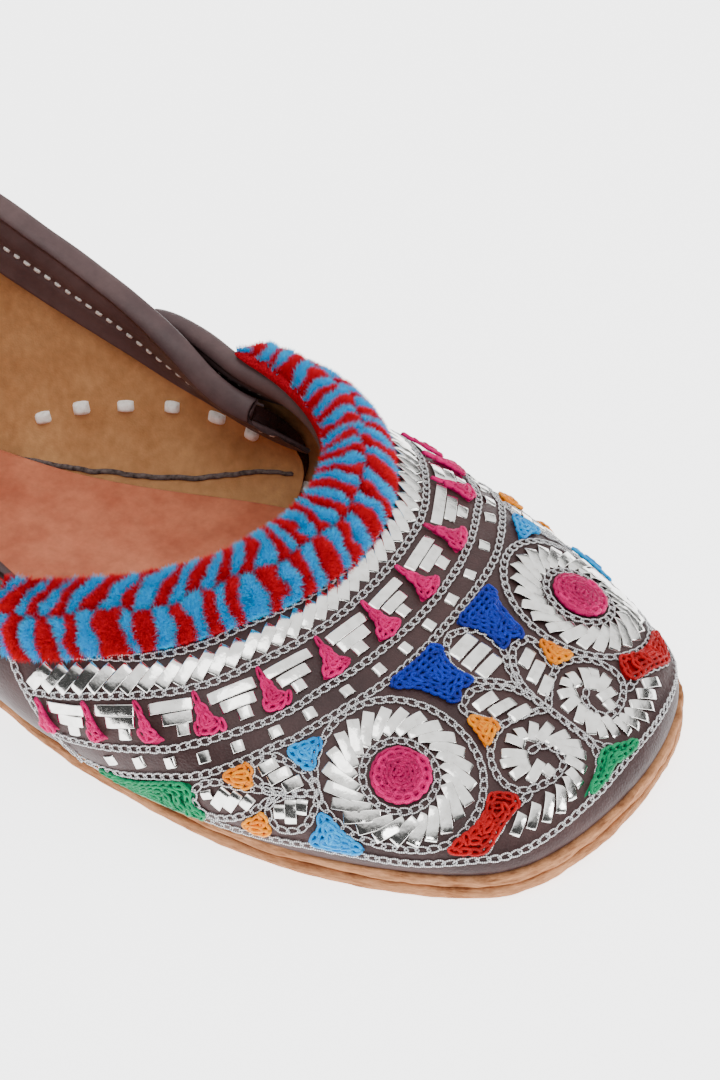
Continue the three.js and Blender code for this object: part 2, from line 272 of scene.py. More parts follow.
def grid_faces(rows, columns, wrap_rows=False, wrap_columns=False):
    """Quads of a grid of rows x columns points, as indices."""
    i = np.arange(rows if wrap_rows else rows - 1)
    j = np.arange(columns if wrap_columns else columns - 1)
    a, b = np.meshgrid(i, j, indexing="ij")
    c, d = (a + 1) % rows, (b + 1) % columns
    corners = [a * columns + b, c * columns + b, c * columns + d, a * columns + d]
    return np.stack(corners, -1).reshape(-1, 4)


def add_mesh(name, points, faces, materials, replaces=(), numbers=None, values=None,
             smooth=True):
    """A piece from points in millimetres and an array or list of faces. numbers: material index
    of each face. values: float attributes of each point."""
    mesh = bpy.data.meshes.new(name)
    flat = (np.asarray(points, float).reshape(-1, 3) + SHIFT) * MM
    faces = [np.asarray(f) for f in (faces if isinstance(faces, list) else [faces]) if len(f)]
    counts = np.concatenate([np.full(len(f), f.shape[1]) for f in faces])
    corners = np.concatenate([f.ravel() for f in faces])
    mesh.vertices.add(len(flat))
    mesh.vertices.foreach_set("co", flat.astype(np.float32).ravel())
    mesh.loops.add(len(corners))
    mesh.loops.foreach_set("vertex_index", corners.astype(np.int32))
    mesh.polygons.add(len(counts))
    starts = np.concatenate([[0], np.cumsum(counts)[:-1]])
    mesh.polygons.foreach_set("loop_start", starts.astype(np.int32))
    mesh.polygons.foreach_set("loop_total", counts.astype(np.int32))
    mesh.polygons.foreach_set("use_smooth", np.full(len(counts), smooth))
    if numbers is not None:
        mesh.polygons.foreach_set("material_index", np.asarray(numbers, np.int32))
    for key, column in (values or {}).items():
        mesh.attributes.new(key, "FLOAT", "POINT").data.foreach_set(
            "value", np.asarray(column, np.float32).ravel())
    mesh.update(calc_edges=True)
    mesh.validate()
    for material in materials:
        mesh.materials.append(material)
    piece = bpy.data.objects.new(name, mesh)
    bpy.context.scene.collection.objects.link(piece)
    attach(piece, "root")
    for node in replaces:
        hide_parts(node)
    return piece


def noise(points, pitch, seed=0):
    """Smooth value noise from -1 to 1: random numbers on a cubic lattice of that pitch, blended
    with eased weights. Each lattice point's number is the fraction of sin(k.p) * 43758.5."""
    p = np.asarray(points, float) / pitch + 17.3 * seed
    cell = np.floor(p)
    f = ease(p - cell)
    total = np.zeros(p.shape[:-1])
    for corner in np.ndindex(2, 2, 2):
        q = cell + corner
        value = np.sin(q @ np.array([12.9898, 78.233, 37.719]) + seed) * 43758.5453
        weight = np.prod(np.where(corner, f, 1 - f), -1)
        total += weight * (value - np.floor(value))
    return 2 * total - 1


def fractal(points, pitch, octaves=3, seed=0):
    """Noise plus half as much at half the pitch, and so on."""
    return sum(noise(points, pitch / 2 ** k, seed + k) / 2 ** k for k in range(octaves))


def outwards(points, faces):
    """The faces of a closed body turned to point out of it: all are reversed where the volume
    worked out from them, the sum of a . (b x c) / 6 over their triangles, is negative."""
    volume = 0.0
    for group in faces:
        first = points[group[:, 0]]
        for k in range(1, group.shape[1] - 1):
            volume += np.sum(dot(first, np.cross(points[group[:, k]], points[group[:, k + 1]])))
    return [group[:, ::-1] for group in faces] if volume < 0 else faces


def ring_solid(rings):
    """Points and faces of a closed body from rings (n, k, 3), with an n-gon at each end."""
    n, k = rings.shape[:2]
    points = rings.reshape(-1, 3)
    ends = [np.arange(k)[::-1][None, :], (n - 1) * k + np.arange(k)[None, :]]
    return points, outwards(points, [grid_faces(n, k, wrap_columns=True)] + ends)


def spread(shape, faces, origins, axes, scale):
    """Copies of one shape at many frames: p = origin + (shape * scale) . axes."""
    local = shape[None] * scale[:, None, :]
    points = origins[:, None] + np.einsum("nij,njk->nik", local, axes)
    index = faces[None] + (np.arange(len(origins)) * len(shape))[:, None, None]
    return points.reshape(-1, 3), index.reshape(-1, faces.shape[1])


class Socket:
    """A shader value. Arithmetic on it adds Math nodes to its tree."""

    def __init__(self, graph, link):
        self.graph = graph
        self.link = link

    def math(self, operation, *others):
        """A Math node with this value as its first input."""
        return self.graph.node("ShaderNodeMath", self, *others, operation=operation)

    def __add__(self, other):
        return self.math("ADD", other)

    def __mul__(self, other):
        return self.math("MULTIPLY", other)

    __radd__ = __add__
    __rmul__ = __mul__


class Graph:
    """A tree of shader nodes."""

    def __init__(self, tree):
        self.tree = tree

    def feed(self, target, value):
        """Links or sets one input. value: a Socket, a number, a colour or a vector."""
        if isinstance(value, Socket):
            self.tree.links.new(value.link, target)
        elif isinstance(value, tuple) and len(value) == 3 and target.type == "RGBA":
            target.default_value = (*value, 1)
        else:
            target.default_value = value

    def node(self, kind, *inputs, output=0, named=None, **settings):
        """Any node: its settings, its inputs in order and by name, and one of its outputs."""
        made = self.tree.nodes.new(kind)
        for key, value in settings.items():
            setattr(made, key, value)
        for target, value in zip(made.inputs, inputs):
            self.feed(target, value)
        for key, value in (named or {}).items():
            self.feed(made.inputs[key], value)
        return Socket(self, made.outputs[output])


class Paint(Graph):
    """One material, built round a Principled shader."""

    def __init__(self, name, **constants):
        self.material = bpy.data.materials.new(name)
        self.material.use_nodes = True
        super().__init__(self.material.node_tree)
        self.shader = self.tree.nodes["Principled BSDF"]
        for key, value in constants.items():
            self.set(key.replace("_", " "), value)

    def set(self, name, value):
        """Sets or links one input of the shader."""
        self.feed(self.shader.inputs[name], value)

    def place(self, scale=(1, 1, 1)):
        """The point in millimetres, in the object's own frame, stretched by scale."""
        point = self.node("ShaderNodeTexCoord", output="Object")
        factor = tuple(1 / MM * s for s in scale)
        return self.node("ShaderNodeVectorMath", point, factor, operation="MULTIPLY")

    def noise(self, size, detail=2.0, rough=0.5, scale=(1, 1, 1)):
        """Noise from 0 to 1 with features of about that size in millimetres."""
        return self.node("ShaderNodeTexNoise", named={
            "Vector": self.place(scale), "Scale": 1 / size, "Detail": detail, "Roughness": rough})

    def cells(self, size):
        """Distance to the nearest of scattered points about that size apart."""
        return self.node("ShaderNodeTexVoronoi", named={"Vector": self.place(), "Scale": 1 / size})

    def value(self, name):
        """A float attribute of the mesh."""
        return self.node("ShaderNodeAttribute", output="Fac", attribute_name=name)

    def wave(self, name, length):
        """A sine wave from 0 to 1 along a float attribute of the mesh."""
        return (self.value(name) * (2 * math.pi / length)).math("SINE") * 0.5 + 0.5

    def ramp(self, factor, low, high, start=0.0, end=1.0):
        """From low to high as factor goes from start to end. low, high: numbers or colours."""
        if isinstance(low, tuple):
            share = self.node("ShaderNodeMapRange", factor, start, end, 0.0, 1.0)
            return self.mix(share, low, high)
        return self.node("ShaderNodeMapRange", factor, start, end, low, high)

    def mix(self, share, low, high):
        """The colour low where share is 0, high where it is 1."""
        return self.node("ShaderNodeMix", named={0: share, 6: low, 7: high}, output=2,
                         data_type="RGBA")

    def bump(self, height, depth):
        """Bump of that depth in millimetres, where height goes from 0 to 1."""
        self.set("Normal", self.node("ShaderNodeBump", named={
            "Distance": depth * MM, "Height": height}))


def srgb(red, green, blue):
    """A colour as seen on screen, 0 to 255, as linear light."""
    return tuple(((c / 255 + 0.055) / 1.055) ** 2.4 if c > 10 else c / 3294.6
                 for c in (red, green, blue))


def leather_paint(name, colour, dark, light, rough, grain=0.45, depth=0.05, blotch=14.0):
    """Leather: blotches of light and dark, fine pores and creases, uneven sheen."""
    p = Paint(name, IOR=1.45, Specular_IOR_Level=0.3)
    cloud = p.noise(blotch, 4, 0.6)
    fine = p.noise(grain * 4, 3, 0.6)
    tone = p.mix(0.5, p.ramp(cloud, dark, light, 0.3, 0.7), colour)
    shade = p.ramp(fine, 0.86, 1.1, 0.3, 0.75)
    p.set("Base Color", p.node("ShaderNodeVectorMath", tone, operation="SCALE",
                               named={"Scale": shade}))
    p.set("Roughness", p.ramp(cloud, rough - 0.07, rough + 0.07, 0.3, 0.7))
    p.bump(p.cells(grain) * 0.6 + fine * 0.8, depth)
    return p.material


BROWN = leather_paint("brown_leather", srgb(60, 40, 40), srgb(42, 26, 26), srgb(80, 56, 54), 0.46,
                      grain=0.4, depth=0.1)
BINDING = leather_paint("binding_leather", srgb(84, 64, 64), srgb(62, 46, 48), srgb(104, 82, 80),
                        0.5, grain=0.6, depth=0.03)
INSOLE = leather_paint("terracotta_leather", srgb(188, 104, 74), srgb(152, 74, 52),
                       srgb(214, 134, 100), 0.6, grain=0.5, depth=0.03, blotch=9)
LINING = leather_paint("tan_lining", srgb(184, 132, 84), srgb(146, 94, 54),
                       srgb(204, 156, 108), 0.8, grain=0.35, depth=0.04, blotch=11)


def yarn_paint(name, dark, colour, size, depth):
    """Plain thread or thong: a little soiled, with fine fibres."""
    p = Paint(name, Roughness=0.75, Specular_IOR_Level=0.2)
    fibre = p.noise(size, 3, 0.6)
    p.set("Base Color", p.ramp(fibre, dark, colour, 0.3, 0.6))
    p.bump(fibre, depth)
    return p.material


STITCH_THREAD = yarn_paint("stitch_thread", srgb(176, 166, 158), srgb(236, 228, 220), 0.3, 0.05)
THONG = yarn_paint("white_thong", srgb(226, 216, 206), srgb(255, 252, 246), 0.8, 0.08)
CUT_EDGE = yarn_paint("grey_cut_edge", srgb(52, 40, 38), srgb(104, 92, 88), 0.9, 0.15)


def sole_paint():
    """Cut edge of sole leather: long fibres in layers, dark and pale, with paler clouds."""
    p = Paint("sole_leather", IOR=1.4, Specular_IOR_Level=0.15)
    fibre = p.noise(1.0, 4, 0.7, scale=(0.35, 0.35, 2.2))
    cloud = p.noise(8.0, 3, 0.6)
    speck = p.noise(0.5, 2, 0.6)
    tone = p.ramp(fibre, srgb(96, 50, 24), srgb(186, 130, 90), 0.3, 0.66)
    tone = p.mix(p.ramp(cloud, 0.0, 0.5, 0.35, 0.7), tone, srgb(200, 146, 106))
    p.set("Base Color", tone)
    p.set("Roughness", 0.85)
    p.bump(fibre * 0.8 + speck * 0.4, 0.16)
    return p.material


SOLE = sole_paint()


def sole_layer(name, node, low, high, seed, ragged):
    """A layer of sole leather: the CAD outline at 700 stations, its edge in 9 rows that waver
    by noise, the lower and upper corners worn round."""
    w = 1 - 2 * (np.arange(700) + 0.5) / 700
    z = np.array([0, 0, 0.12, 0.3, 0.5, 0.7, 0.88, 1, 1])
    inset = np.array([3.0, 0.5, 0.16, 0.02, 0.0, 0.03, 0.16, 0.5, 3.0])
    base, n = rim(w), outward(w)
    at = base[:, None, :] - n[:, None, :] * inset[None, :, None]
    at[..., 2] = low + (high - low) * z
    stretched = at * np.array([0.5, 0.5, 1.6])
    wave = fractal(stretched, 1.6, 3, seed) * ragged
    soften = np.array([0, 0.6, 1, 1, 1, 1, 1, 0.6, 0])
    at = at + n[:, None, :] * (np.minimum(wave, 0.2) * soften)[..., None]
    at[..., 2] += lift(at[..., 1])
    count, rows = at.shape[:2]
    faces = grid_faces(count, rows, wrap_rows=True)
    half = np.arange(count // 2 - 1)
    mates = count - 1 - half
    caps = [np.stack([half * rows + r, (half + 1) * rows + r,
                      (mates - 1) * rows + r, mates * rows + r], -1) for r in (0, rows - 1)]
    points = at.reshape(-1, 3)
    faces = outwards(points, [faces, caps[0][:, ::-1], caps[1]])
    add_mesh(name, points, faces, [SOLE], replaces=[node])


sole_layer("outsole_leather", "outsole", 0, OUTSOLE_THICKNESS, 3, 0.22)
sole_layer("midsole_leather", "midsole", OUTSOLE_THICKNESS + 0.25, SOLE_TOP, 8, 0.3)


def insole_piece():
    """The insole on its CAD outline, its top a little uneven with a worn round edge."""
    w = 1 - 2 * (np.arange(500) + 0.5) / 500
    u = np.abs(w)
    edge = section("inset", u) * FEATHER_INSET + 0.3 + UPPER_WALL * ease((u - 0.34) / 0.05)
    steps = np.linspace(0, 1, 26)
    rise = [(0.0, SEAT), (0.0, SEAT + 1.2), (0.25, SEAT + 1.75), (0.7, SEAT + INSOLE_THICKNESS)]
    rings = []
    for extra, z in rise:
        ring = rim(w) - outward(w) * (edge + extra)[:, None]
        ring[:, 2] = z
        rings.append(ring)
    edges = np.stack(rings, 1)
    inner = edges[:, -1]
    mate = inner[::-1]
    half = 250
    sheet = inner[:half, None, :] + (mate[:half] - inner[:half])[:, None, :] * steps[None, :, None]
    sheet[..., 2] = SEAT + INSOLE_THICKNESS
    bumps = 0.12 * noise(sheet, 11, 2) * np.sin(np.pi * steps)[None, :]
    sheet[..., 2] += bumps
    points = np.concatenate([edges.reshape(-1, 3), sheet.reshape(-1, 3)])
    points[:, 2] += lift(points[:, 1])
    side = grid_faces(500, 4, wrap_rows=True)[:, ::-1]
    top = 4 * 500 + grid_faces(half, 26)[:, ::-1]
    step = np.arange(half - 1)
    under = np.stack([step, step + 1, 498 - step, 499 - step], -1) * 4
    add_mesh("insole_leather", points, [side, top, under], [INSOLE],
             replaces=["insole"])


insole_piece()

# The leather under the embroidery is thicker than at the quarters
LEATHER_OUT = 2.0
vamp = Surface(vamp_face, -0.49, 0.49)
quarter_near = Surface(quarter_face, -0.999, -0.34)
quarter_far = Surface(quarter_face, 0.34, 0.999)


def vamp_piece():
    """The vamp: brown leather outside, tan lining inside. Rings of an outer and an inner row of
    points at 481 stations, slightly uneven outside where it is stretched over the last."""
    a = np.linspace(-1, 1, 481)[:, None]
    t = np.linspace(0, 1, 90)[None, :]
    w = a * (VAMP_END_TOP + (VAMP_END_FEATHER - VAMP_END_TOP) * t)
    base = vamp.at_t(w, t, LEATHER_OUT)
    wave = 0.12 * noise(base, 9, 5) + 0.05 * noise(base, 3, 6)
    out = LEATHER_OUT + wave * ease((1 - t) / 0.1)
    outer = vamp.at_t(w, t, out)
    inner = vamp.at_t(w[:, ::3], t[:, ::3], 0)[:, ::-1]
    edge = vamp.at(w[:, 0], 0 * w[:, 0] - 0.5, LEATHER_OUT / 2)[:, None]
    rings = np.concatenate([outer, inner, edge], 1)
    points, faces = ring_solid(rings)
    columns = rings.shape[1]
    numbers = np.zeros(len(faces[0]), int).reshape(-1, columns)
    numbers[:, 90:90 + inner.shape[1]] = 1
    numbers = np.concatenate([numbers.ravel(), [0, 0]])
    add_mesh("vamp_leather", points, faces, [BROWN, LINING],
             replaces=["upper"], numbers=numbers)


def quarter_piece(name, surface, side):
    """One quarter: brown leather outside, tan lining inside, its front end thin and plain."""
    a = np.linspace(1, 0, 261)[:, None]
    t = np.linspace(0, 1, 60)[None, :]
    front = QUARTER_FRONT_TOP + (QUARTER_FRONT_FEATHER - QUARTER_FRONT_TOP) * t
    w = side * (0.999 - (0.999 - front) * a)
    outer = surface.at_t(w, t, LAP)
    inner = surface.at_t(w, t, -UPPER_WALL)[:, ::-1]
    rings = np.concatenate([outer, inner], 1)
    points, faces = ring_solid(rings)
    numbers = np.zeros(len(faces[0]), int).reshape(-1, 120)
    numbers[:, 60:119] = 1
    add_mesh(name, points, faces, [BROWN, LINING], replaces=["upper"],
             numbers=np.concatenate([numbers.ravel(), [0, 0]]))


vamp_piece()
quarter_piece("quarter_leather_near", quarter_near, -1)
quarter_piece("quarter_leather_far", quarter_far, 1)


def fold(name, surface, w, outside, inside, thickness, back, node):
    """A strip of leather folded over a top edge: from 'outside' mm down the outer face, round the
    edge, to 'inside' mm down the lining, drawn in where it is stitched. back: how far in the
    lining lies from the face. Its section is a closed ring of about 50 points."""
    front = LAP if back else LEATHER_OUT
    middle = (front - back) / 2
    half = (front + back) / 2
    turn = np.linspace(0, np.pi, 13)
    over = half + 0.12 + thickness
    rise = 0.5 if back else 0.8
    under = half + 0.05
    share = np.linspace(0, 1, 26)
    puff = ease(share / 0.3) * (1 - 0.6 * ease(share / 0.9))
    puff = puff * (1 - np.exp(-((share - STITCH_SHARE) / 0.07) ** 2))
    path_s = np.concatenate([
        [outside], np.linspace(outside, 0.6, 5), 0.6 - over * np.sin(turn) * rise,
        np.linspace(0.6, inside, 26), [inside + 0.35], np.linspace(inside, 0.6, 8),
        0.6 - under * np.sin(turn[::-2]) * (rise - 0.1), [outside - 0.1]])
    path_out = np.concatenate([
        [front + 0.1], np.full(5, front + thickness * 0.6), middle + over * np.cos(turn),
        -back - thickness - 0.1 - 0.5 * puff, [-back - 0.3], np.full(8, -back - 0.12),
        middle + under * np.cos(turn[::-2]), [front + 0.05]])
    s = np.broadcast_to(path_s, (len(w), len(path_s)))
    out = np.broadcast_to(path_out, s.shape)
    wide = np.broadcast_to(w[:, None], s.shape)
    rings = surface.at(wide, s, out)
    rings = rings + 0.1 * noise(rings, 6, 12)[..., None] * unit(rings - rings.mean(1, keepdims=True))
    points, faces = ring_solid(rings)
    add_mesh(name, points, faces, [BINDING], replaces=[node])
    stitch_row(name.replace("fold", "stitches"), surface, w, 0.6 + STITCH_SHARE * (inside - 0.6),
               -back - thickness - 0.12, -1)


def pads(name, surface, w, s, out, size, side, paint):
    """Soft oblong stitches at (w, s): half ellipsoids with square shoulders,
    z = (1 - |x|^3)^0.5 (1 - |y|^3)^0.5, along the line of stitches. side: -1 to lie inside."""
    length, width, height = size
    x = np.linspace(-1, 1, 11)
    px, py = np.meshgrid(x, np.linspace(-1, 1, 7), indexing="ij")
    z = np.sqrt(np.clip(1 - np.abs(px) ** 3, 0, 1) * np.clip(1 - np.abs(py) ** 3, 0, 1))
    narrow = 1 - 0.18 * np.abs(px) ** 2
    shape = np.stack([px * length / 2, py * narrow * width / 2, z * height - 0.15], -1)
    centre = surface.at(w, s, out)
    n = surface.frames(w, s)[:, 2] * side
    ahead = np.gradient(centre, axis=0)
    ahead = unit(ahead - n * dot(ahead, n)[:, None])
    axes = np.stack([ahead, np.cross(n, ahead), n], 1)
    rng = np.random.default_rng(len(name))
    scale = rng.uniform(0.88, 1.1, (len(w), 3))
    faces = grid_faces(11, 7)
    points, index = spread(shape.reshape(-1, 3), faces, centre, axes, scale)
    add_mesh(name, points, index, [paint])


def stitch_row(name, surface, w, s, out, side):
    """A row of machine stitches at an even pitch along the strip's middle."""
    line = surface.at(w, np.full(len(w), s), out)
    walked = np.append(0, np.cumsum(np.linalg.norm(np.diff(line, axis=0), axis=1)))
    place = np.arange(1.2, walked[-1] - 0.8, STITCH_PITCH)
    spots = np.interp(place, walked, w)
    pads(name, surface, spots, np.full(len(spots), s), out, STITCH_SIZE, side, STITCH_THREAD)


# Machine stitches: their share of the way down the fold's inside, pitch and size, and the
# thong stitches' size (length, width, height)
STITCH_SHARE = 0.5
STITCH_PITCH = 2.1
STITCH_SIZE = (1.35, 0.8, 0.5)
THONG_SIZE = (2.9, 2.4, 1.3)

# Thong stitches that join the vamp and the quarters: (w, s) on the quarter's lining, then on the
# vamp's lining. Cut edges of the linings: the same, on the quarter and at the insole.
QUARTER_THONGS = [(0.5121, 36.0), (0.4936, 30.7), (0.4716, 25.9), (0.4476, 21.3),
                  (0.4233, 18.9), (0.4059, 19.1)]
VAMP_THONGS = [(0.4327, 28.5), (0.4129, 29.5), (0.3954, 30.2)]
QUARTER_EDGE = [(0.396, 25.6), (0.401, 26.6), (0.43, 30.4), (0.4627, 35.6), (0.5, 41.2),
                (0.526, 45.0)]
LINING_EDGE = [(0.385, 33.4), (0.41, 31.7), (0.43, 30.6), (0.44, 30.4)]


fold("throat_edge_fold", vamp, np.linspace(-VAMP_END_TOP, VAMP_END_TOP, 400), 1.5, 8.5, 0.7, 0.0,
     "throat_binding")
fold("collar_fold_near", quarter_near, np.linspace(-0.999, -0.362, 400), 2.0, 13, 0.8,
     UPPER_WALL, "collar_binding")
fold("collar_fold_far", quarter_far, np.linspace(0.362, 0.999, 400), 2.0, 13, 0.8,
     UPPER_WALL, "collar_binding")


def ribbon(name, surface, path, mirror, out, size, ragged, seed):
    """A cut edge along a path of (w, s) on a lining: a flat strip whose rim wavers by noise."""
    path = np.asarray(path)
    share = np.linspace(0, 1, 160)
    even = np.linspace(0, 1, len(path))
    w, s = (np.interp(share, even, path[:, k]) for k in (0, 1))
    width, height = size
    b = np.array([-0.5, -0.5, -0.2, 0.3, 0.5, 0.5])
    z = np.array([-0.4, 0.7, 1.0, 1.0, 0.6, -0.4])
    base = surface.at(w * mirror, s, out)
    wave = ragged * fractal(base, 4, 3, seed)
    ends = ease(np.minimum(share, 1 - share) / 0.04)[:, None]
    rings = surface.at((w * mirror)[:, None] + 0 * b, s[:, None] + b * width * ends + wave[:, None],
                       out - z * height * ends)
    points, faces = ring_solid(rings)
    add_mesh(name, points, faces, [CUT_EDGE])


def lining_details(name, quarter, mirror):
    """One side's thong stitches and the cut edges of the quarter's and the vamp's lining."""
    for part, surface, table, out in (("quarter", quarter, QUARTER_THONGS, -UPPER_WALL),
                                      ("vamp", vamp, VAMP_THONGS, 0.0)):
        w, s = np.array(table).T
        pads(f"{part}_thong_stitches_{name}", surface, w * mirror, s, np.full(len(w), out),
             THONG_SIZE, -1, THONG)
    ribbon(f"quarter_lining_edge_{name}", quarter, QUARTER_EDGE, mirror, -UPPER_WALL, (0.7, 0.35),
           0.25, 4)
    ribbon(f"vamp_lining_edge_{name}", vamp, LINING_EDGE, mirror, 0.0, (0.9, 0.5), 0.5, 6)


lining_details("near", quarter_near, -1)
lining_details("far", quarter_far, 1)

# The embroidery's chart. Places on the vamp are pairs: hundredths of w, and millimetres down from
# the throat edge. The toe's ornament is drawn once, for the near side, and mirrored about MIDDLE.

MIDDLE = -1.8
ROW_END = 38.6

# Rows of chain stitch round the throat: places from the middle to the rear end
PILE_ROW = [(0, 10.4), (13, 10.4), (18, 11.2), (23, 11.4), (28, 11.1), (33, 10.1), (38.6, 10)]
INNER_ROW = [(0, 15.3), (5, 15.5), (9, 16.2), (13, 17), (17, 17.5), (23, 18.2), (29, 17.9),
             (33, 17.3), (38.6, 16.8)]
MIDDLE_ROW = [(0, 24.4), (5, 24.5), (9, 25), (12.5, 25.9), (16, 27.1), (21, 27.6), (27, 28),
              (30, 28.1), (34, 26.8), (38.6, 25.2)]
OUTER_ROW = [(0, 28.5), (4, 28.8), (8, 29.5), (12.5, 30.5), (18, 32), (21, 32.2), (26, 33.3),
             (29.5, 33.6), (33.5, 32.5), (38.6, 31.6)]
EDGE_ROW = [(0, 65), (4, 65.3), (8, 65.4), (11.5, 65), (14, 63.4), (16.5, 61.6), (19, 59.2),
            (21, 56.5), (23, 53.5), (25, 50.6), (27, 48.2), (30, 44.6), (33, 40.8), (36, 36.4),
            (38.6, 32)]

TRIANGLE_PLACES = [-37.8, -34, -29.6, -23.8, -16, -10.6, -5.2, 1.2, 8.2, 15, 21.5, 27, 31.5, 35.5]
SQUARE_PLACES = [-35.2, -32.9, -30.4, -27.4, -23.8, -19.2, -14.8, -11.4, -8.6, -5.6, -2.1, 1.8,
                 5.6, 9.4, 13.2, 17, 21, 25, 29, 32.6, 35.4]

# A triangle's outline: shares of its half width, and of the way from the inner to the middle row
TRIANGLE_OUT = [-0.1, 0.1, 0.24, 0.55, 1.0, 0.55, 0, -0.5, -0.95, -0.5, -0.24]
TRIANGLE_DOWN = [0.3, 0.3, 0.55, 0.72, 0.84, 0.87, 0.92, 0.89, 0.84, 0.66, 0.52]
TRIANGLE_HALF = 2.9

# |w| of a triangle, and the share of that half width that it keeps
TRIANGLE_NARROWING = [(0, 0.2, 0.25, 0.3, 0.39), (1, 1, 0.85, 0.6, 0.45)]

# Strips between two triangles: share of the gap, and share of the way between the rows
GAP_STRIPS = [(0.78, 0.27), (0.56, 0.5), (0.24, 0.72)]

ROSETTE = (-13.2, 45)
ROSETTE_RING = 13.4
ROSETTE_EYE = 5.9
ROSETTE_DISK = 4.5
ROSETTE_STRIPS = 24

BLUE = [(-3.4, 29.6), (-5, 29.4), (-6.8, 29.7), (-9.1, 30.3), (-7.8, 32.8), (-6.9, 36),
        (-6.2, 39.4), (-5.2, 37.8), (-3.9, 38.4), (-4.2, 35.2), (-4, 32.4)]
YELLOW = [(-6.6, 42), (-5.9, 43.8), (-5.4, 45.8), (-6.2, 46.8), (-7.2, 47.8), (-6.9, 45.4)]
RED = [(-9.1, 54.2), (-8, 57.4), (-10.4, 59.9), (-13.2, 63), (-14.6, 62), (-15.9, 60.5),
       (-12.4, 58.6), (-10.4, 56.6)]
TURQUOISE_BACK = [(-20, 33.6), (-17.8, 33.4), (-15.7, 33.8), (-17.6, 36), (-19.6, 38.4)]
TURQUOISE_LOW = [(-21.9, 45.3), (-21.9, 50), (-21.4, 54.4), (-23.2, 52.4), (-24.7, 49.6),
                 (-23.2, 47.8)]
YELLOW_BACK = [(-27, 34.6), (-25.5, 34.1), (-24.1, 33.9), (-24.9, 35.7), (-25.4, 37.8),
               (-26.4, 37)]
YELLOW_LOW = [(-28.4, 43.4), (-27.2, 43), (-26.2, 42.4), (-26.7, 44.2), (-26.9, 46.2),
              (-28, 45.6)]
GREEN_LONG = [(-37.6, 32.6), (-35.2, 33.6), (-32.6, 33.9), (-30.4, 34.4), (-30, 35.6),
              (-31, 39), (-30.8, 42.4), (-33.2, 39.4), (-35.4, 36)]
GREEN_TIP = [(-5, 64.4), (-3.6, 62.8), (-1.8, 60.5), (0, 62.8), (1.4, 64.4), (-0.4, 64.2),
             (-1.8, 63.2), (-3.2, 64.2)]

LEAF_A = [(-24.2, 40), (-26.2, 37.6), (-27.5, 35.8), (-29, 35.2), (-30.3, 36.6), (-31, 39.4),
          (-30.6, 41.4), (-29.4, 42.2), (-27.5, 42), (-25.8, 41.2)]
LEAF_B = [(-20.8, 42), (-20.2, 38.8), (-20.5, 36.4), (-21.3, 34), (-22.9, 33.6), (-24.4, 35),
          (-24.7, 37.2), (-24, 39.6), (-22.6, 41)]
LEAF_C = [(-21, 42.4), (-21.8, 44), (-22.9, 45.6), (-24.3, 47), (-25.6, 46.8), (-26.2, 45.4),
          (-26, 43), (-25.2, 41.4), (-23.4, 41)]
LEAF_FRONT = [(-5.2, 46), (-6, 43), (-6.3, 40.6), (-4.9, 39.2), (-3.7, 40.1), (-2.5, 42.5),
              (-1.9, 46), (-1.8, 50.2)]
LEAF_MIDDLE = [(-1.8, 43.2), (-0.9, 40.6), (0.1, 38.2), (0.5, 35), (0.2, 32.4), (-1.8, 30.2),
               (-3.8, 32.4), (-4.1, 35), (-3.7, 38.2), (-2.7, 40.6)]

COMMA = [(-1.9, 49.8), (-3, 48.2), (-4.2, 47.1), (-5.4, 46.7), (-6.4, 47.4), (-7.3, 48.9),
         (-7.9, 50.8), (-8.2, 53), (-8.2, 55), (-7.8, 56.8), (-7, 57.9), (-6, 58.5),
         (-5.2, 58.6), (-4.4, 58), (-4, 56.6), (-4, 55), (-4.4, 53.4), (-5.2, 52.8)]
COMMA_BACK = [(-1.8, 50), (-1.8, 53), (-1.8, 56), (-1.9, 59), (-2.4, 61.4), (-3.2, 63),
              (-4.4, 64.8)]
COMMA_TAIL = [(-7.4, 58.3), (-8.5, 58.4), (-9.5, 58.9), (-10.4, 59.9), (-11.5, 61.2),
              (-12.8, 62.8)]

# Strips of flat metal: the places of both ends
COMMA_STRIPS = [
    (-7.6, 54.2, -5.8, 54.4), (-7.4, 51.4, -5.7, 53.9), (-6.8, 50, -5.5, 53.2),
    (-5.7, 48.5, -5.1, 51.6), (-4.5, 48.3, -4.9, 51), (-3.3, 49.6, -4.6, 51.8),
    (-2.5, 51.9, -4.3, 52.4), (-2.3, 55, -4.1, 53.6), (-2.3, 57.9, -3.8, 54.6),
    (-2.7, 59.9, -3.8, 55.8), (-3.5, 61.7, -4, 57.4), (-4.5, 62.9, -4.5, 59),
    (-5.6, 63.6, -4.9, 59.6), (-6.8, 64, -5.6, 59.9), (-7.9, 63.6, -6.5, 59.9),
    (-9.1, 63.2, -7.6, 59.8), (-10.3, 62.6, -8.8, 59.9), (-6.9, 56.6, -5.2, 55.2),
    (-5.9, 57.4, -4.9, 57)]
LEAF_STRIPS = [
    (-29.6, 38.3, -29.3, 36.4), (-29.8, 40, -27.7, 37.1), (-29, 40.7, -27, 38.2),
    (-27.7, 41, -26.2, 39.4), (-23.9, 35.6, -21.6, 34.8), (-23.9, 37.7, -21.1, 36.9),
    (-23.3, 39.7, -21, 39.2), (-25.6, 44.6, -24.6, 42), (-25.1, 45.9, -23.5, 41.9),
    (-23.8, 45, -22.5, 42.5), (-5.6, 41.6, -3.6, 42.2), (-5.1, 44, -2.8, 44.9),
    (-4.3, 46.6, -2.5, 47.6)]
MIDDLE_STRIPS = [(-3.3, 33, -0.3, 33), (-3.4, 35.6, -0.2, 35.6), (-3.1, 38.2, -0.5, 38.2)]


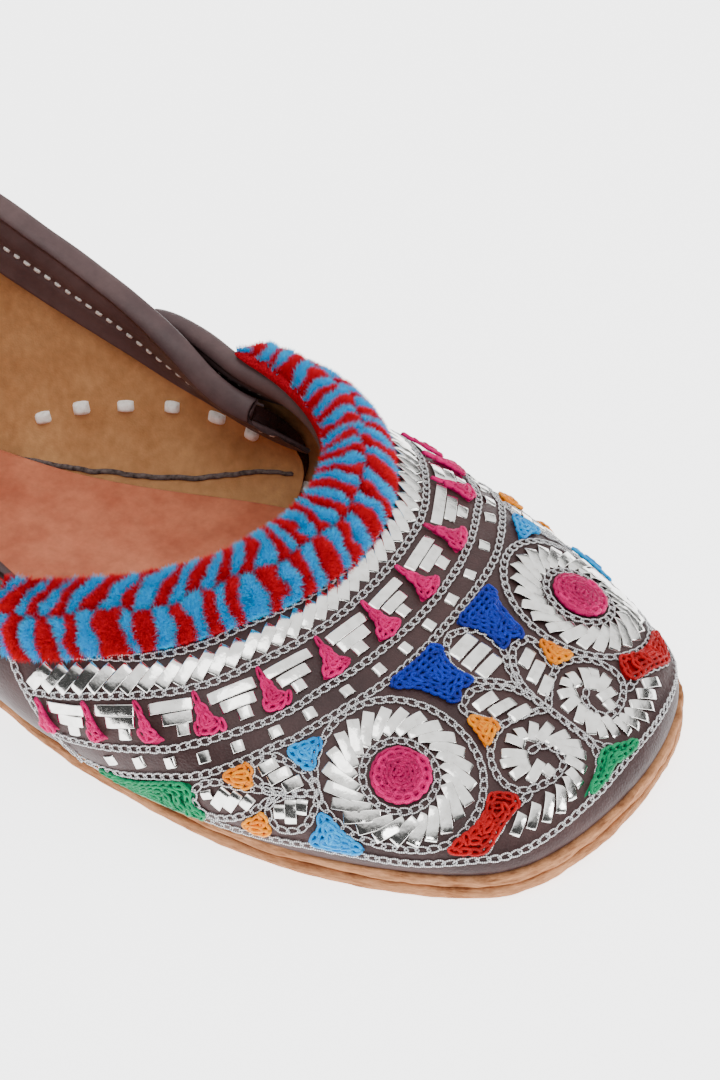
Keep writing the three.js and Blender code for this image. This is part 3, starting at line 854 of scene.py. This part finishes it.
class Chart:
    """The vamp's leather as a table of points and normals, read between its entries."""

    EDGE = 0.47
    TOP = -2.0
    STEP = 0.2

    def __init__(self, surface):
        self.w = np.linspace(-self.EDGE, self.EDGE, 941)
        self.s = self.TOP + self.STEP * np.arange(391)
        w, s = np.meshgrid(self.w, self.s, indexing="ij")
        self.points = surface.at(w, s)
        self.normals = surface.normal(w, surface.t(w, np.maximum(s, 0)))

    def read(self, table, w, s):
        """The table's value at (w, s), weighted from its four neighbours."""
        x = np.clip((w + self.EDGE) / (2 * self.EDGE), 0, 1) * (len(self.w) - 1)
        y = np.clip((s - self.TOP) / self.STEP, 0, len(self.s) - 1)
        i = np.minimum(x.astype(int), len(self.w) - 2)
        j = np.minimum(y.astype(int), len(self.s) - 2)
        f, g = (x - i)[..., None], (y - j)[..., None]
        return ((1 - f) * ((1 - g) * table[i, j] + g * table[i, j + 1])
                + f * ((1 - g) * table[i + 1, j] + g * table[i + 1, j + 1]))

    def at(self, w, s, out=0.0):
        """A point s below the top edge and out from the leather."""
        w, s, out = np.broadcast_arrays(*(np.asarray(v, float) for v in (w, s, out)))
        p = self.read(self.points, w, s)
        return p + self.read(self.normals, w, s) * out[..., None] if np.any(out) else p

    def frames(self, w, s):
        """Rows of unit vectors at (w, s): along +w, down +s, and the normal."""
        w, s = np.broadcast_arrays(np.asarray(w, float), np.asarray(s, float))
        n = unit(self.read(self.normals, w, s))
        across = self.at(w, s + self.STEP) - self.at(w, s - self.STEP)
        down = unit(across - n * dot(across, n)[..., None])
        return np.stack([np.cross(n, down), down, n], -2)


chart = Chart(Surface(vamp_face, -0.48, 0.48, LEATHER_OUT))


def settle(points, w, s):
    """The places under points in space: seven Gauss-Newton steps from (w, s), each a 2 x 2
    least-squares solution with the surface's slopes."""
    w = np.broadcast_to(np.asarray(w, float), points.shape[:-1]).copy()
    s = np.broadcast_to(np.asarray(s, float), points.shape[:-1]).copy()
    for _ in range(7):
        along = (chart.at(w + 1e-3, s) - chart.at(w - 1e-3, s)) / 2e-3
        down = (chart.at(w, s + 0.1) - chart.at(w, s - 0.1)) / 0.2
        miss = points - chart.at(w, s)
        aa, ad, dd = dot(along, along), dot(along, down), dot(down, down)
        am, dm = dot(along, miss), dot(down, miss)
        fix = aa * dd - ad * ad
        w = np.clip(w + (dd * am - ad * dm) / fix, -0.46, 0.46)
        s = np.clip(s + (aa * dm - ad * am) / fix, -1, vamp.reach(w) - 0.5)
    return w, s


class Plane:
    """A flat drawing on the vamp round one place: a to +w and b towards the sole, in mm."""

    def __init__(self, w, s):
        self.place = (w, s)
        self.centre = chart.at(w, s)
        self.axes = chart.frames(np.asarray(w), np.asarray(s))

    def lay(self, a, b):
        """Places on the vamp under points of the drawing."""
        flat = np.stack([a, b], -1) @ self.axes[:2]
        return settle(self.centre + flat, *self.place)

    def read(self, w, s):
        """Points of the drawing over places on the vamp."""
        flat = (chart.at(w, s) - self.centre) @ self.axes[:2].T
        return flat[..., 0], flat[..., 1]


def places(pairs, mirror=False):
    """A list of chart places as arrays of w and s, mirrored about the toe's middle if asked."""
    pairs = np.asarray(pairs, float)
    w = 2 * MIDDLE - pairs[:, 0] if mirror else pairs[:, 0]
    return w / 100, pairs[:, 1]


def smooth(w, s, closed=False, per=10):
    """A Catmull-Rom curve through places."""
    p = np.stack([w, s], -1)
    p = np.concatenate([p[-1:], p, p[:2]]) if closed else \
        np.concatenate([2 * p[:1] - p[1:2], p, 2 * p[-1:] - p[-2:-1]])
    f = (np.arange(per) / per)[None, :, None]
    a, b, c, d = (p[i:len(p) - 3 + i, None, :] for i in range(4))
    body = b + 0.5 * f * (c - a + f * (2 * a - 5 * b + 4 * c - d + f * (3 * (b - c) + d - a)))
    body = body.reshape(-1, 2)
    end = p[-2:-1]
    body = np.concatenate([body, end])
    return body[:, 0], body[:, 1]


def paced(w, s, pitch):
    """Places, directions and the pitch used, at even steps of about pitch along a path."""
    points = chart.at(w, s)
    walked = np.append(0, np.cumsum(np.linalg.norm(np.diff(points, axis=0), axis=1)))
    count = max(1, int(round(walked[-1] / pitch)))
    step = walked[-1] / count
    middle = (np.arange(count) + 0.5) * step
    along = [np.interp(middle + d, walked, c) for d in (-step / 3, step / 3) for c in (w, s)]
    there = unit(chart.at(along[2], along[3]) - chart.at(along[0], along[1]))
    return np.interp(middle, walked, w), np.interp(middle, walked, s), there, step


threads = {}


def chain(thread, w, s, pitch=1.75, width=1.0, height=0.0):
    """Chain stitch along a path: one link per pitch, kept for the thread's mesh."""
    w, s, ahead, step = paced(w, s, pitch)
    n = chart.frames(w, s)[:, 2]
    ahead = unit(ahead - n * dot(ahead, n)[:, None])
    axes = np.stack([ahead, np.cross(n, ahead), n], 1)
    scale = np.tile([step / 1.75, width, 1.0], (len(w), 1))
    out = np.broadcast_to(height, w.shape)
    threads.setdefault(thread, []).append((chart.at(w, s, out), axes, scale))


def link_shape(thick):
    """One loop of chain stitch as a closed tube along a teardrop, 1.75 mm of row long. It starts
    inside the loop before, rises over that loop's end and lies down again."""
    turn = np.arange(12) / 12 * 2 * np.pi
    x = -1.2 * np.cos(turn) + 0.1
    y = 0.55 * np.sin(turn) * (1 - 0.28 * np.cos(turn))
    z = 0.12 + thick + 0.16 * np.exp(-((x + 0.75) / 0.3) ** 2) - 0.1 * (np.cos(turn) > 0.97)
    line = np.stack([x, y, z], -1)
    ahead = unit(np.roll(line, -1, 0) - np.roll(line, 1, 0))
    side = unit(np.cross(ahead, [0, 0, 1.0]))
    over = np.cross(side, ahead)
    angle = np.arange(5) / 5 * 2 * np.pi
    tube = (line[:, None] + thick * (np.cos(angle)[None, :, None] * side[:, None]
                                     + np.sin(angle)[None, :, None] * over[:, None]))
    length = np.append(0, np.cumsum(np.linalg.norm(np.diff(line, axis=0), axis=1)))
    return tube.reshape(-1, 3), grid_faces(12, 5, True, True), np.repeat(length, 5)


def thread_piece(name, thread, thick, paint):
    """All links of one thread as a mesh, with the length along the thread and a random tone."""
    kept = threads[thread]
    origins, axes, scale = (np.concatenate([k[i] for k in kept]) for i in range(3))
    shape, faces, length = link_shape(thick)
    rng = np.random.default_rng(len(name))
    scale = scale * rng.uniform(0.93, 1.07, scale.shape)
    twist = rng.uniform(-0.1, 0.1, len(origins))
    ahead = axes[:, 0] + axes[:, 1] * twist[:, None]
    axes = np.stack([unit(ahead), unit(np.cross(axes[:, 2], ahead)), axes[:, 2]], 1)
    points, index = spread(shape, faces, origins, axes, scale)
    tone = np.repeat(rng.uniform(0, 1, len(origins)), len(shape))
    add_mesh(name, points, index, [paint],
             values={"along": np.tile(length, len(origins)), "tone": tone})


strips = []


def strip(ends, width, mirror=False):
    """Flat metal strips from chart places (w, s, w, s), kept for the strips' mesh."""
    ends = np.atleast_2d(np.asarray(ends, float))
    first = places(ends[:, :2], mirror)
    second = places(ends[:, 2:4], mirror)
    metal_between(chart.at(*first), chart.at(*second), width, 0.42, 0.12,
                  (first[0] + second[0]) / 2, (first[1] + second[1]) / 2)


def metal_between(start, end, width, rise, height, w, s):
    """Flat metal strips between points in space over the places (w, s) of their middles."""
    middle = chart.at(w, s, np.broadcast_to(height, w.shape))
    n = chart.frames(w, s)[:, 2]
    run = end - start
    ahead = unit(run - n * dot(run, n)[:, None])
    axes = np.stack([ahead, np.cross(n, ahead), n], 1)
    scale = np.stack([np.linalg.norm(run, axis=1), np.broadcast_to(width, w.shape),
                      np.broadcast_to(rise, w.shape)], 1)
    strips.append((middle, axes, scale))


def strip_shape():
    """A flat strip of unit length and width, arched along its length with ends that dive into
    the leather: z = 1 - |2x|^4, a flat upper face with thin turned sides."""
    x = np.array([-0.5, -0.485, -0.45, -0.4, -0.32, -0.2, 0, 0.2, 0.32, 0.4, 0.45, 0.485, 0.5])
    y = np.array([-0.5, -0.49, -0.44, 0, 0.44, 0.49, 0.5])
    side = np.array([-0.3, -0.05, 0, 0.03, 0, -0.05, -0.3])
    arch = 1 - np.abs(2 * x) ** 4
    px, py = np.meshgrid(x, y, indexing="ij")
    z = arch[:, None] + side[None, :]
    z[0] -= 0.6
    z[-1] -= 0.6
    return np.stack([px, py, z], -1).reshape(-1, 3), grid_faces(len(x), len(y)), px.ravel() + 0.5


def strips_piece(name, kept, paint):
    """All metal strips as a mesh, each tilted a little, with a random tone and the share of its
    length."""
    middle, axes, scale = (np.concatenate([k[i] for k in kept]) for i in range(3))
    rng = np.random.default_rng(5)
    tilt = rng.normal(0, 0.05, (len(middle), 2))
    n = unit(axes[:, 2] + axes[:, 0] * tilt[:, :1] + axes[:, 1] * tilt[:, 1:])
    ahead = unit(axes[:, 0] - n * dot(axes[:, 0], n)[:, None])
    axes = np.stack([ahead, np.cross(n, ahead), n], 1)
    scale = scale * rng.uniform(0.95, 1.05, scale.shape)
    shape, faces, share = strip_shape()
    points, index = spread(shape, faces, middle, axes, scale)
    tone = np.repeat(rng.uniform(0, 1, len(middle)), len(shape))
    add_mesh(name, points, index, [paint],
             values={"tone": tone, "share": np.tile(share, len(middle))})


patches = {}


def filled(thread, w, s, pitch=1.5, width=0.85, rise=0.8):
    """A filled motif: a low mound over an outline, worked in chain stitch round and round from
    the outline inwards. Each contour is the outline drawn in towards the middle."""
    middle = (float(np.mean(w)), float(np.mean(s)))
    plane = Plane(*middle)
    w, s = smooth(w, s, closed=True, per=6)
    a, b = plane.read(w, s)
    points = np.stack([a, b], -1)
    gap = np.linalg.norm(np.diff(points, axis=0), axis=1)
    walked = np.append(0, np.cumsum(gap))
    even = np.linspace(0, walked[-1], 49)[:-1]
    outline = np.stack([np.interp(even, walked, a), np.interp(even, walked, b)], -1)
    area = 0.5 * np.sum(outline[:, 0] * np.roll(outline[:, 1], -1)
                        - outline[:, 1] * np.roll(outline[:, 0], -1))
    outline = outline if area > 0 else outline[::-1]
    area = abs(area)
    radius = 2 * area / walked[-1]
    rounds = max(1, int(round(radius / (0.95 * width))))
    centre = outline.mean(0)
    for share in (np.arange(rounds) + 0.5) / rounds:
        ring = centre + (outline - centre) * (1 - share)
        ring = np.concatenate([ring, ring[:1]])
        rw, rs = plane.lay(ring[:, 0], ring[:, 1])
        chain(thread, rw, rs, pitch=pitch, width=width, height=rise * (1 - (1 - share) ** 2) * 0.6)
    levels = np.array([0, 0.12, 0.35, 0.65, 0.95])
    rings = centre + (outline[None] - centre) * (1 - levels[:, None, None])
    rw, rs = plane.lay(rings[..., 0], rings[..., 1])
    out = rise * 0.6 * (1 - (1 - levels) ** 2) - 0.02 * (levels == 0)
    mound = chart.at(rw, rs, out[:, None])
    patches.setdefault(thread, []).append(mound)


def patches_piece(name, thread, paint):
    """The mounds under the filled motifs of one thread as a mesh."""
    mounds = np.stack(patches[thread])
    count, levels, around = mounds.shape[:3]
    faces = grid_faces(levels, around, wrap_columns=True)
    index = faces[None] + (np.arange(count) * levels * around)[:, None, None]
    tips = (np.arange(count)[:, None] * levels + levels - 1) * around + np.arange(around)[None]
    add_mesh(name, mounds, [index.reshape(-1, 4), tips], [paint])


def row(pairs):
    """A row of places from the near rear end through the middle to the far rear end."""
    pairs = np.asarray(pairs, float)
    both = np.concatenate([pairs[:0:-1] * [-1, 1], pairs])
    return smooth(both[:, 0] / 100, both[:, 1])


def row_height(pairs, w):
    """Distance down from the throat of a row at w."""
    pairs = np.asarray(pairs, float)
    return np.interp(np.abs(w) * 100, pairs[:, 0], pairs[:, 1])


def scale_at(w, s):
    """Millimetres of the leather for one unit of w."""
    step = 2e-3
    return np.linalg.norm(chart.at(w + step, s) - chart.at(w - step, s), axis=-1) / (2 * step)


def throat_rows():
    """The rows round the throat: chains, slanted strips, triangles with graded strips between
    them, and small squares."""
    for pairs in (PILE_ROW, INNER_ROW, MIDDLE_ROW, OUTER_ROW, EDGE_ROW):
        chain("silver", *row(pairs))
    for side in (-1, 1):
        s = np.linspace(10, 32, 30)
        chain("silver", np.full(30, side * ROW_END / 100), s)
    slanted_strips()
    triangles()
    places_w = np.array(SQUARE_PLACES) / 100
    s = (row_height(OUTER_ROW, places_w) + row_height(MIDDLE_ROW, places_w)) / 2
    half = 1.15 / scale_at(places_w, s)
    metal_between(chart.at(places_w - half, s + 0.1), chart.at(places_w + half, s - 0.1), 1.9,
                  0.35, 0.12, places_w, s)


def slanted_strips():
    """Strips that overlap like shingles beside the pile, all with the same lean."""
    w, s, ahead, _ = paced(*row([(p[0], p[1] - 3.1) for p in INNER_ROW]), 2.75)
    inside = np.abs(w) < 0.375
    w, s, ahead = w[inside], s[inside], ahead[inside]
    down = chart.frames(w, s)[:, 1]
    lean = unit(ahead * 0.8 - down * 0.62)
    half = 2.75
    metal_between(chart.at(w, s) - lean * half, chart.at(w, s) + lean * half, 2.1, 0.42, 0.2, w, s)


def triangles():
    """Magenta triangles on thin tails between the inner and the middle row, and three strips,
    each shorter than the last, between each two."""
    places_w = np.array(TRIANGLE_PLACES) / 100
    across, down = np.array(TRIANGLE_OUT), np.array(TRIANGLE_DOWN)
    for tail in places_w:
        high, low = row_height(INNER_ROW, tail), row_height(MIDDLE_ROW, tail)
        scale = scale_at(tail, (high + low) / 2)
        wide = TRIANGLE_HALF * np.interp(abs(tail), *TRIANGLE_NARROWING)
        drift = np.sign(tail) * min(1.8, 9 * abs(tail))
        w = tail + (across * wide + down * drift) / scale
        room = row_height(MIDDLE_ROW, w) - row_height(INNER_ROW, w)
        filled("magenta", w, row_height(INNER_ROW, w) + down * room)
        b = np.linspace(0.12, 0.5, 10)
        chain("magenta", tail + b * drift / scale, high + b * (low - high), pitch=1.5, width=0.6,
              height=0.15)
    for left, right in zip(places_w[:-1], places_w[1:]):
        for share, level in GAP_STRIPS:
            middle = (left + right) / 2 + level * np.sign(left + right) * 0.008
            half = share * (right - left) / 2
            ends = np.array([middle - half, middle + half])
            room = row_height(MIDDLE_ROW, ends) - row_height(INNER_ROW, ends)
            s = row_height(INNER_ROW, ends) + level * room
            points = chart.at(ends, s)
            metal_between(points[:1], points[1:], 1.9, 0.35, 0.12, np.array([middle]),
                          s.mean()[None])


def rosette(mirror):
    """A rosette: an outer and an inner ring of chain stitch, a magenta disk worked in a spiral,
    and strips that slant out from the inner ring."""
    w, s = places([ROSETTE], mirror)
    plane = Plane(float(w[0]), float(s[0]))
    turn = np.linspace(0, 2 * np.pi, 97)
    for radius in (ROSETTE_RING, ROSETTE_EYE):
        chain("silver", *plane.lay(radius * np.cos(turn), radius * np.sin(turn)))
    spiral = np.linspace(0, 1, 200)
    radius = ROSETTE_DISK * (1 - 0.9 * spiral) - 0.3
    angle = 2 * np.pi * 3.6 * spiral
    disk = plane.lay(radius * np.cos(angle), radius * np.sin(angle))
    chain("magenta", *disk, pitch=1.5, width=1.15, height=0.25)
    filled("magenta_base", *plane.lay(ROSETTE_DISK * np.cos(turn[::8][:-1]),
                                      ROSETTE_DISK * np.sin(turn[::8][:-1])))
    angle = np.arange(ROSETTE_STRIPS) / ROSETTE_STRIPS * 2 * np.pi
    swirl = math.radians(26)
    start = plane.lay(7.0 * np.cos(angle), 7.0 * np.sin(angle))
    end = plane.lay(11.9 * np.cos(angle + swirl), 11.9 * np.sin(angle + swirl))
    middle = plane.lay(9.3 * np.cos(angle + swirl / 2), 9.3 * np.sin(angle + swirl / 2))
    metal_between(chart.at(*start), chart.at(*end), 2.0, 0.42, 0.2, *middle)


def toe_field():
    """The toe's ornament, drawn for one side and mirrored, with the pieces on the middle."""
    fills = {"blue": [BLUE], "yellow": [YELLOW, YELLOW_BACK, YELLOW_LOW], "red": [RED],
             "turquoise": [TURQUOISE_BACK, TURQUOISE_LOW], "green": [GREEN_LONG]}
    for mirror in (False, True):
        rosette(mirror)
        for thread, outlines in fills.items():
            for outline in outlines:
                filled(thread, *places(outline, mirror))
        for outline in (LEAF_A, LEAF_B, LEAF_C):
            chain("silver", *smooth(*places(outline, mirror), closed=True))
        for line in (COMMA, COMMA_BACK, COMMA_TAIL, LEAF_FRONT):
            chain("silver", *smooth(*places(line, mirror)))
        strip(COMMA_STRIPS, 1.75, mirror)
        strip(LEAF_STRIPS, 1.9, mirror)
    filled("green", *places(GREEN_TIP))
    chain("silver", *smooth(*places(LEAF_MIDDLE), closed=True))
    strip(MIDDLE_STRIPS, 2.2)


def thread_paint(name, colour, dark):
    """Soft embroidery thread: fine twist along it, some links paler."""
    p = Paint(name, Roughness=0.5, Specular_IOR_Level=0.2)
    ply = p.wave("along", 0.32)
    fine = p.noise(0.25, 2, 0.6)
    p.set("Base Color", p.mix(p.value("tone") * 0.5 + fine * 0.5, dark, colour))
    p.bump(ply * 0.6 + fine * 0.8, 0.07)
    return p.material


def metal_thread_paint():
    """Silver thread: a bright metal strip wound round a core, painted in white bands as a painted
    highlight on each turn, with painted shade in grey between its turns.
    """
    p = Paint("silver_thread", Metallic=0.15)
    ply = p.wave("along", 0.36)
    # Painted highlight on each turn and painted shade between the turns, along the thread
    p.set("Base Color", p.mix(ply, srgb(132, 130, 134), srgb(255, 255, 255)))
    p.set("Roughness", p.ramp(ply, 0.5, 0.3))
    p.bump(ply, 0.06)
    return p.material


def strip_paint():
    """Flat silver-coloured metal strip: long faint dents along it, a little tarnish."""
    p = Paint("silver_strip", Metallic=1.0)
    dent = p.noise(1.6, 2, 0.5)
    scratch = p.noise(0.35, 3, 0.6)
    p.set("Base Color", p.ramp(dent, srgb(222, 220, 216), srgb(248, 247, 243), 0.3, 0.6))
    p.set("Roughness", p.ramp(scratch, 0.1, 0.22, 0.3, 0.75))
    p.bump(dent * 0.8 + scratch * 0.1, 0.09)
    return p.material


THREAD_COLOURS = {
    "magenta": ((236, 0, 120), (160, 0, 70)),
    "magenta_base": ((200, 6, 96), (130, 0, 60)),
    "blue": ((22, 52, 186), (8, 18, 104)),
    "yellow": ((255, 164, 0), (220, 104, 0)),
    "red": ((196, 0, 10), (120, 0, 4)),
    "turquoise": ((0, 176, 244), (0, 110, 190)),
    "green": ((4, 158, 100), (0, 100, 62)),
}


def embroidery():
    """All embroidery: each thread's stitches and mounds, then the metal."""
    throat_rows()
    toe_field()
    thread_piece("silver_chain_stitch", "silver", 0.14, metal_thread_paint())
    for thread, (light_tone, dark_tone) in THREAD_COLOURS.items():
        paint = thread_paint(thread + "_thread", srgb(*light_tone), srgb(*dark_tone))
        thread_piece(thread + "_chain_stitch", thread, 0.36, paint)
        patches_piece(thread + "_mounds", thread, paint)
    strips_piece("metal_strips", strips, strip_paint())


embroidery()


# The pile round the throat: its width from just over the edge, and its tufts
PILE_LOW = -2.0
PILE_WIDTH = 12.4
PILE_HEIGHT = 5.2
PILE_MIDLINE = 4.7
PILE_FAR_END = 0.379
TUFT_PAIR = 5.0
RED_SHARE = 0.54
TUFT_VALLEY = 1.5
TUFT_PARTING = 1.1


class Pile:
    """The braid of cut pile, a function of x, the length along the throat from the toe's middle,
    and b, from 0 at the throat's edge to 1 at the outer edge."""

    def __init__(self):
        w = np.linspace(-PILE_END, PILE_FAR_END, 1201)
        line = chart.at(w, 0 * w + PILE_MIDLINE)
        walked = np.append(0, np.cumsum(np.linalg.norm(np.diff(line, axis=0), axis=1)))
        self.w = w
        self.x = walked - np.interp(0, w, walked)

    def tufts(self, x, b):
        """Colour (0 red, 1 turquoise), place across the tuft and along it (both -1 to 1). Tufts
        stand in two rows, half a pair out of step; the throat's row leans forwards."""
        spot = np.stack([x, b * PILE_WIDTH, 0 * x], -1)
        x = x + 1.0 * noise(spot, 2.0, 3) + 1.4 * noise(spot * [1, 0.45, 1], 6, 5)
        parting = 0.52 + 0.13 * noise(np.stack([x, 0 * x, 0 * x], -1), 2.9, 9)
        outer = b > parting
        side = np.tanh(x / 22)
        lean = np.where(outer, 1.2, 6.5) * (0.5 - b) * side
        share = (x + lean) / TUFT_PAIR + np.where(outer, 0.5, 0)
        share = share - np.floor(share)
        red = RED_SHARE + 0.13 * noise(spot, 3.5, 7)
        blue = share > red
        across = np.where(blue, (share - red) / (1 - red), share / red) * 2 - 1
        along = np.where(outer, (b - parting) / (1 - parting), b / parting) * 2 - 1
        return blue, across, np.where(outer, -along, along)

    def height(self, x, b):
        """Height over the leather: a dome across the braid, lower between tufts and rows and
        towards both ends."""
        _, across, along = self.tufts(x, b)
        w = np.interp(x, self.x, self.w)
        dome = np.sin(np.pi * (0.07 + 0.88 * np.clip(b, 0, 1))) ** 0.5
        taper = 0.45 + 0.55 * ease(np.minimum(w + PILE_END, PILE_FAR_END - w) / 0.016)
        spot = np.stack([x, b * PILE_WIDTH, 0 * x], -1)
        lump = 0.35 * noise(spot, 1.5, 2)
        dip = TUFT_VALLEY * np.abs(across) ** 3 + TUFT_PARTING * np.clip(along, 0, 1) ** 5
        return np.maximum((PILE_HEIGHT - dip + lump - 0.4) * dome * taper, 0.15)

    def at(self, x, b, height):
        """A point over the leather."""
        w = np.interp(x, self.x, self.w)
        return chart.at(w, PILE_LOW + PILE_WIDTH * b, height)


def pile_core(pile, paints):
    """The tufts' bodies: a grid 0.2 mm fine with a flat underside, coloured by tuft."""
    x = np.linspace(pile.x[0], pile.x[-1], 880)[:, None]
    b = np.linspace(0, 1, 52)[None, :]
    x, b = np.broadcast_arrays(x, b)
    top = pile.at(x, b, pile.height(x, b))
    under = [51, 34, 17, 0]
    rings = np.concatenate([top, pile.at(x[:, under], b[:, under], 0.05)], 1)
    points, faces = ring_solid(rings)
    blue = pile.tufts(x, b)[0].astype(int)
    numbers = np.concatenate([blue, np.zeros((880, 4), int)], 1)[:-1]
    add_mesh("pile_core", points, faces, paints, replaces=["throat_pile"],
             numbers=np.append(numbers.ravel(), [0, 0]))


def pile_fibres(name, pile, turn, count, paint):
    """Cut fibres of one colour: thin triangles that stand out from the tufts and splay towards
    the valleys, 0.8 to 1.7 mm long."""
    rng = np.random.default_rng(17 + turn)
    x = rng.uniform(pile.x[0], pile.x[-1], count * 5 // 2)
    b = rng.uniform(0, 1, len(x))
    blue, across, along = pile.tufts(x, b)
    keep = np.flatnonzero(blue == bool(turn))[:count]
    x, b, across, along = x[keep], b[keep], across[keep], along[keep]
    w = np.interp(x, pile.x, pile.w)
    s = PILE_LOW + PILE_WIDTH * b
    axes = chart.frames(w, np.maximum(s, 0.2))
    forward = np.sign(0.5 - b)
    aim = (axes[:, 2] + axes[:, 0] * (0.6 * across)[:, None]
           + axes[:, 1] * ((2 * b - 1) ** 3 * 1.3 + 0.3 * forward * np.clip(along, 0, 1))[:, None]
           + rng.normal(0, 0.42, (len(x), 3)))
    aim = unit(aim)
    root = pile.at(x, b, pile.height(x, b) - 0.3)
    length = rng.uniform(0.8, 1.7, len(x))[:, None]
    side = unit(np.cross(aim, rng.normal(0, 1, (len(x), 3)))) * 0.075
    points = np.stack([root - side, root + side, root + aim * length], 1)
    faces = np.arange(3 * len(x)).reshape(-1, 3)
    tone = np.repeat(rng.uniform(0, 1, len(x)), 3)
    # tip runs from 0 at a fibre's root to 1 at its tip; the paint uses it to darken the roots as
    # painted shade
    tip = np.tile([0.0, 0.0, 1.0], len(x))
    add_mesh(name, points, faces, [paint], values={"tone": tone, "tip": tip})


def pile_paint(name, dark, colour, light):
    """Cut yarn: painted shade darkens each fibre towards its root, so it is paler at the tip, each
    fibre of its own tone.
    """
    p = Paint(name, Roughness=0.85, Specular_IOR_Level=0.1)
    # Painted shade deep in the pile: dark at the roots by tip, mixed with each fibre's own random
    # tone
    shade = p.value("tip") * 0.55 + p.value("tone") * 0.45
    fleck = p.noise(0.5, 2, 0.6)
    tone = p.mix(shade, dark, colour)
    p.set("Base Color", p.mix(p.ramp(fleck, 0.0, 0.45, 0.5, 0.8), tone, light))
    return p.material


def pile_core_paint(name, dark, colour):
    """The tufts' bodies under the fibres: the yarn's colour, mottled."""
    p = Paint(name, Roughness=0.9, Specular_IOR_Level=0.1)
    fleck = p.noise(0.3, 3, 0.7)
    p.set("Base Color", p.ramp(fleck, dark, colour, 0.35, 0.65))
    p.bump(fleck, 0.3)
    return p.material


def throat_pile():
    """The braid of pile: its core and the cut fibres of both colours."""
    pile = Pile()
    cores = [pile_core_paint("red_pile_core", srgb(150, 8, 24), srgb(214, 18, 44)),
             pile_core_paint("turquoise_pile_core", srgb(0, 140, 205), srgb(0, 190, 245))]
    pile_core(pile, cores)
    # Each pile paint: the painted shade at the fibres' roots, the yarn's colour, and its pale flecks
    pile_fibres("red_pile_fibres", pile, 0, 110000,
                pile_paint("red_pile", srgb(160, 0, 24), srgb(244, 10, 44), srgb(255, 70, 96)))
    pile_fibres("turquoise_pile_fibres", pile, 1, 80000,
                pile_paint("turquoise_pile", srgb(0, 150, 225), srgb(0, 214, 255),
                           srgb(120, 236, 255)))


throat_pile()

# The studio: strengths of the floor, the sweep and the rest of the room, and where the sweep ends
FLOOR_GLOW = 3.0
SWEEP_SIDE = (0.22, 0.13, 0.967)
SWEEP_EDGE = (0.3, 0.62)
ROOM_LIGHT = 0.05
SWEEP_LIGHT = 1.6


def stage():
    """A pale floor that glows a little, and a studio: a white sweep behind the shoe, dim
    elsewhere."""
    p = Paint("floor", Roughness=0.9, Emission_Strength=FLOOR_GLOW)
    p.set("Base Color", (0.85, 0.85, 0.85))
    p.set("Emission Color", (1.0, 1.0, 1.0))
    bpy.ops.mesh.primitive_plane_add(size=6, location=(0, 0, 0))
    floor = bpy.context.object
    floor.name = "floor"
    floor.data.materials.append(p.material)
    world = bpy.data.worlds.new("studio")
    world.use_nodes = True
    sky = Graph(world.node_tree)
    place = sky.node("ShaderNodeTexCoord", output="Generated")
    facing = sky.node("ShaderNodeVectorMath", place, SWEEP_SIDE, operation="DOT_PRODUCT",
                      output="Value")
    strength = sky.node("ShaderNodeMapRange", facing, *SWEEP_EDGE, ROOM_LIGHT, SWEEP_LIGHT,
                        interpolation_type="SMOOTHSTEP")
    background = sky.tree.nodes["Background"]
    sky.feed(background.inputs["Color"], (1, 1, 1))
    sky.feed(background.inputs["Strength"], strength)
    bpy.context.scene.world = world


def light(name, place, aim, size, power):
    """A square soft light at place, turned to aim. Metres and watts."""
    lamp = bpy.data.lights.new(name, "AREA")
    lamp.shape = "RECTANGLE"
    lamp.size, lamp.size_y = size
    lamp.energy = power
    made = bpy.data.objects.new(name, lamp)
    made.location = place
    made.rotation_euler = (Vector(aim) - Vector(place)).to_track_quat("-Z", "Y").to_euler()
    bpy.context.scene.collection.objects.link(made)


# The photograph: its size, the pixel of the toe's tip and the focal length, in pixels
PHOTO = (720, 1080)
TOE_PIXEL = (633, 807)
FOCAL = 6250
CAMERA_TURN = 29.5
CAMERA_DOWN = 39.5


def camera():
    """The photograph's view, from one metre: CAMERA_TURN degrees to the side of the shoe's length
    and CAMERA_DOWN degrees down, with the toe's tip at its pixel."""
    turn, down = math.radians(CAMERA_TURN), math.radians(CAMERA_DOWN)
    ahead = Vector((math.cos(turn) * math.cos(down), math.sin(turn) * math.cos(down),
                    -math.sin(down)))
    right = Vector((math.sin(turn), -math.cos(turn), 0))
    up = right.cross(ahead)
    aim = Vector(np.array([0, -120.5, 0]) + SHIFT) * MM
    across = (TOE_PIXEL[0] - PHOTO[0] / 2) / FOCAL
    above = (PHOTO[1] / 2 - TOE_PIXEL[1]) / FOCAL
    lens = bpy.data.cameras.new("camera")
    lens.sensor_width = 36
    lens.lens = lens.sensor_width * FOCAL / PHOTO[1]
    lens.clip_start, lens.clip_end = 0.05, 20
    made = bpy.data.objects.new("camera", lens)
    made.location = aim - (ahead + right * across + up * above)
    made.rotation_mode = "QUATERNION"
    made.rotation_quaternion = Matrix((right, up, -ahead)).transposed().to_quaternion()
    bpy.context.scene.collection.objects.link(made)
    bpy.context.scene.camera = made


stage()
light("overhead", (-0.25, -0.2, 1.0), (0, -0.05, 0), (0.5, 0.5), 2.5)
light("front_left", (-0.9, -0.7, 0.45), (0, -0.08, 0), (0.3, 0.3), 3)
light("front_right", (0.35, -1.1, 0.4), (0, -0.08, 0), (0.25, 0.25), 2.5)
camera()
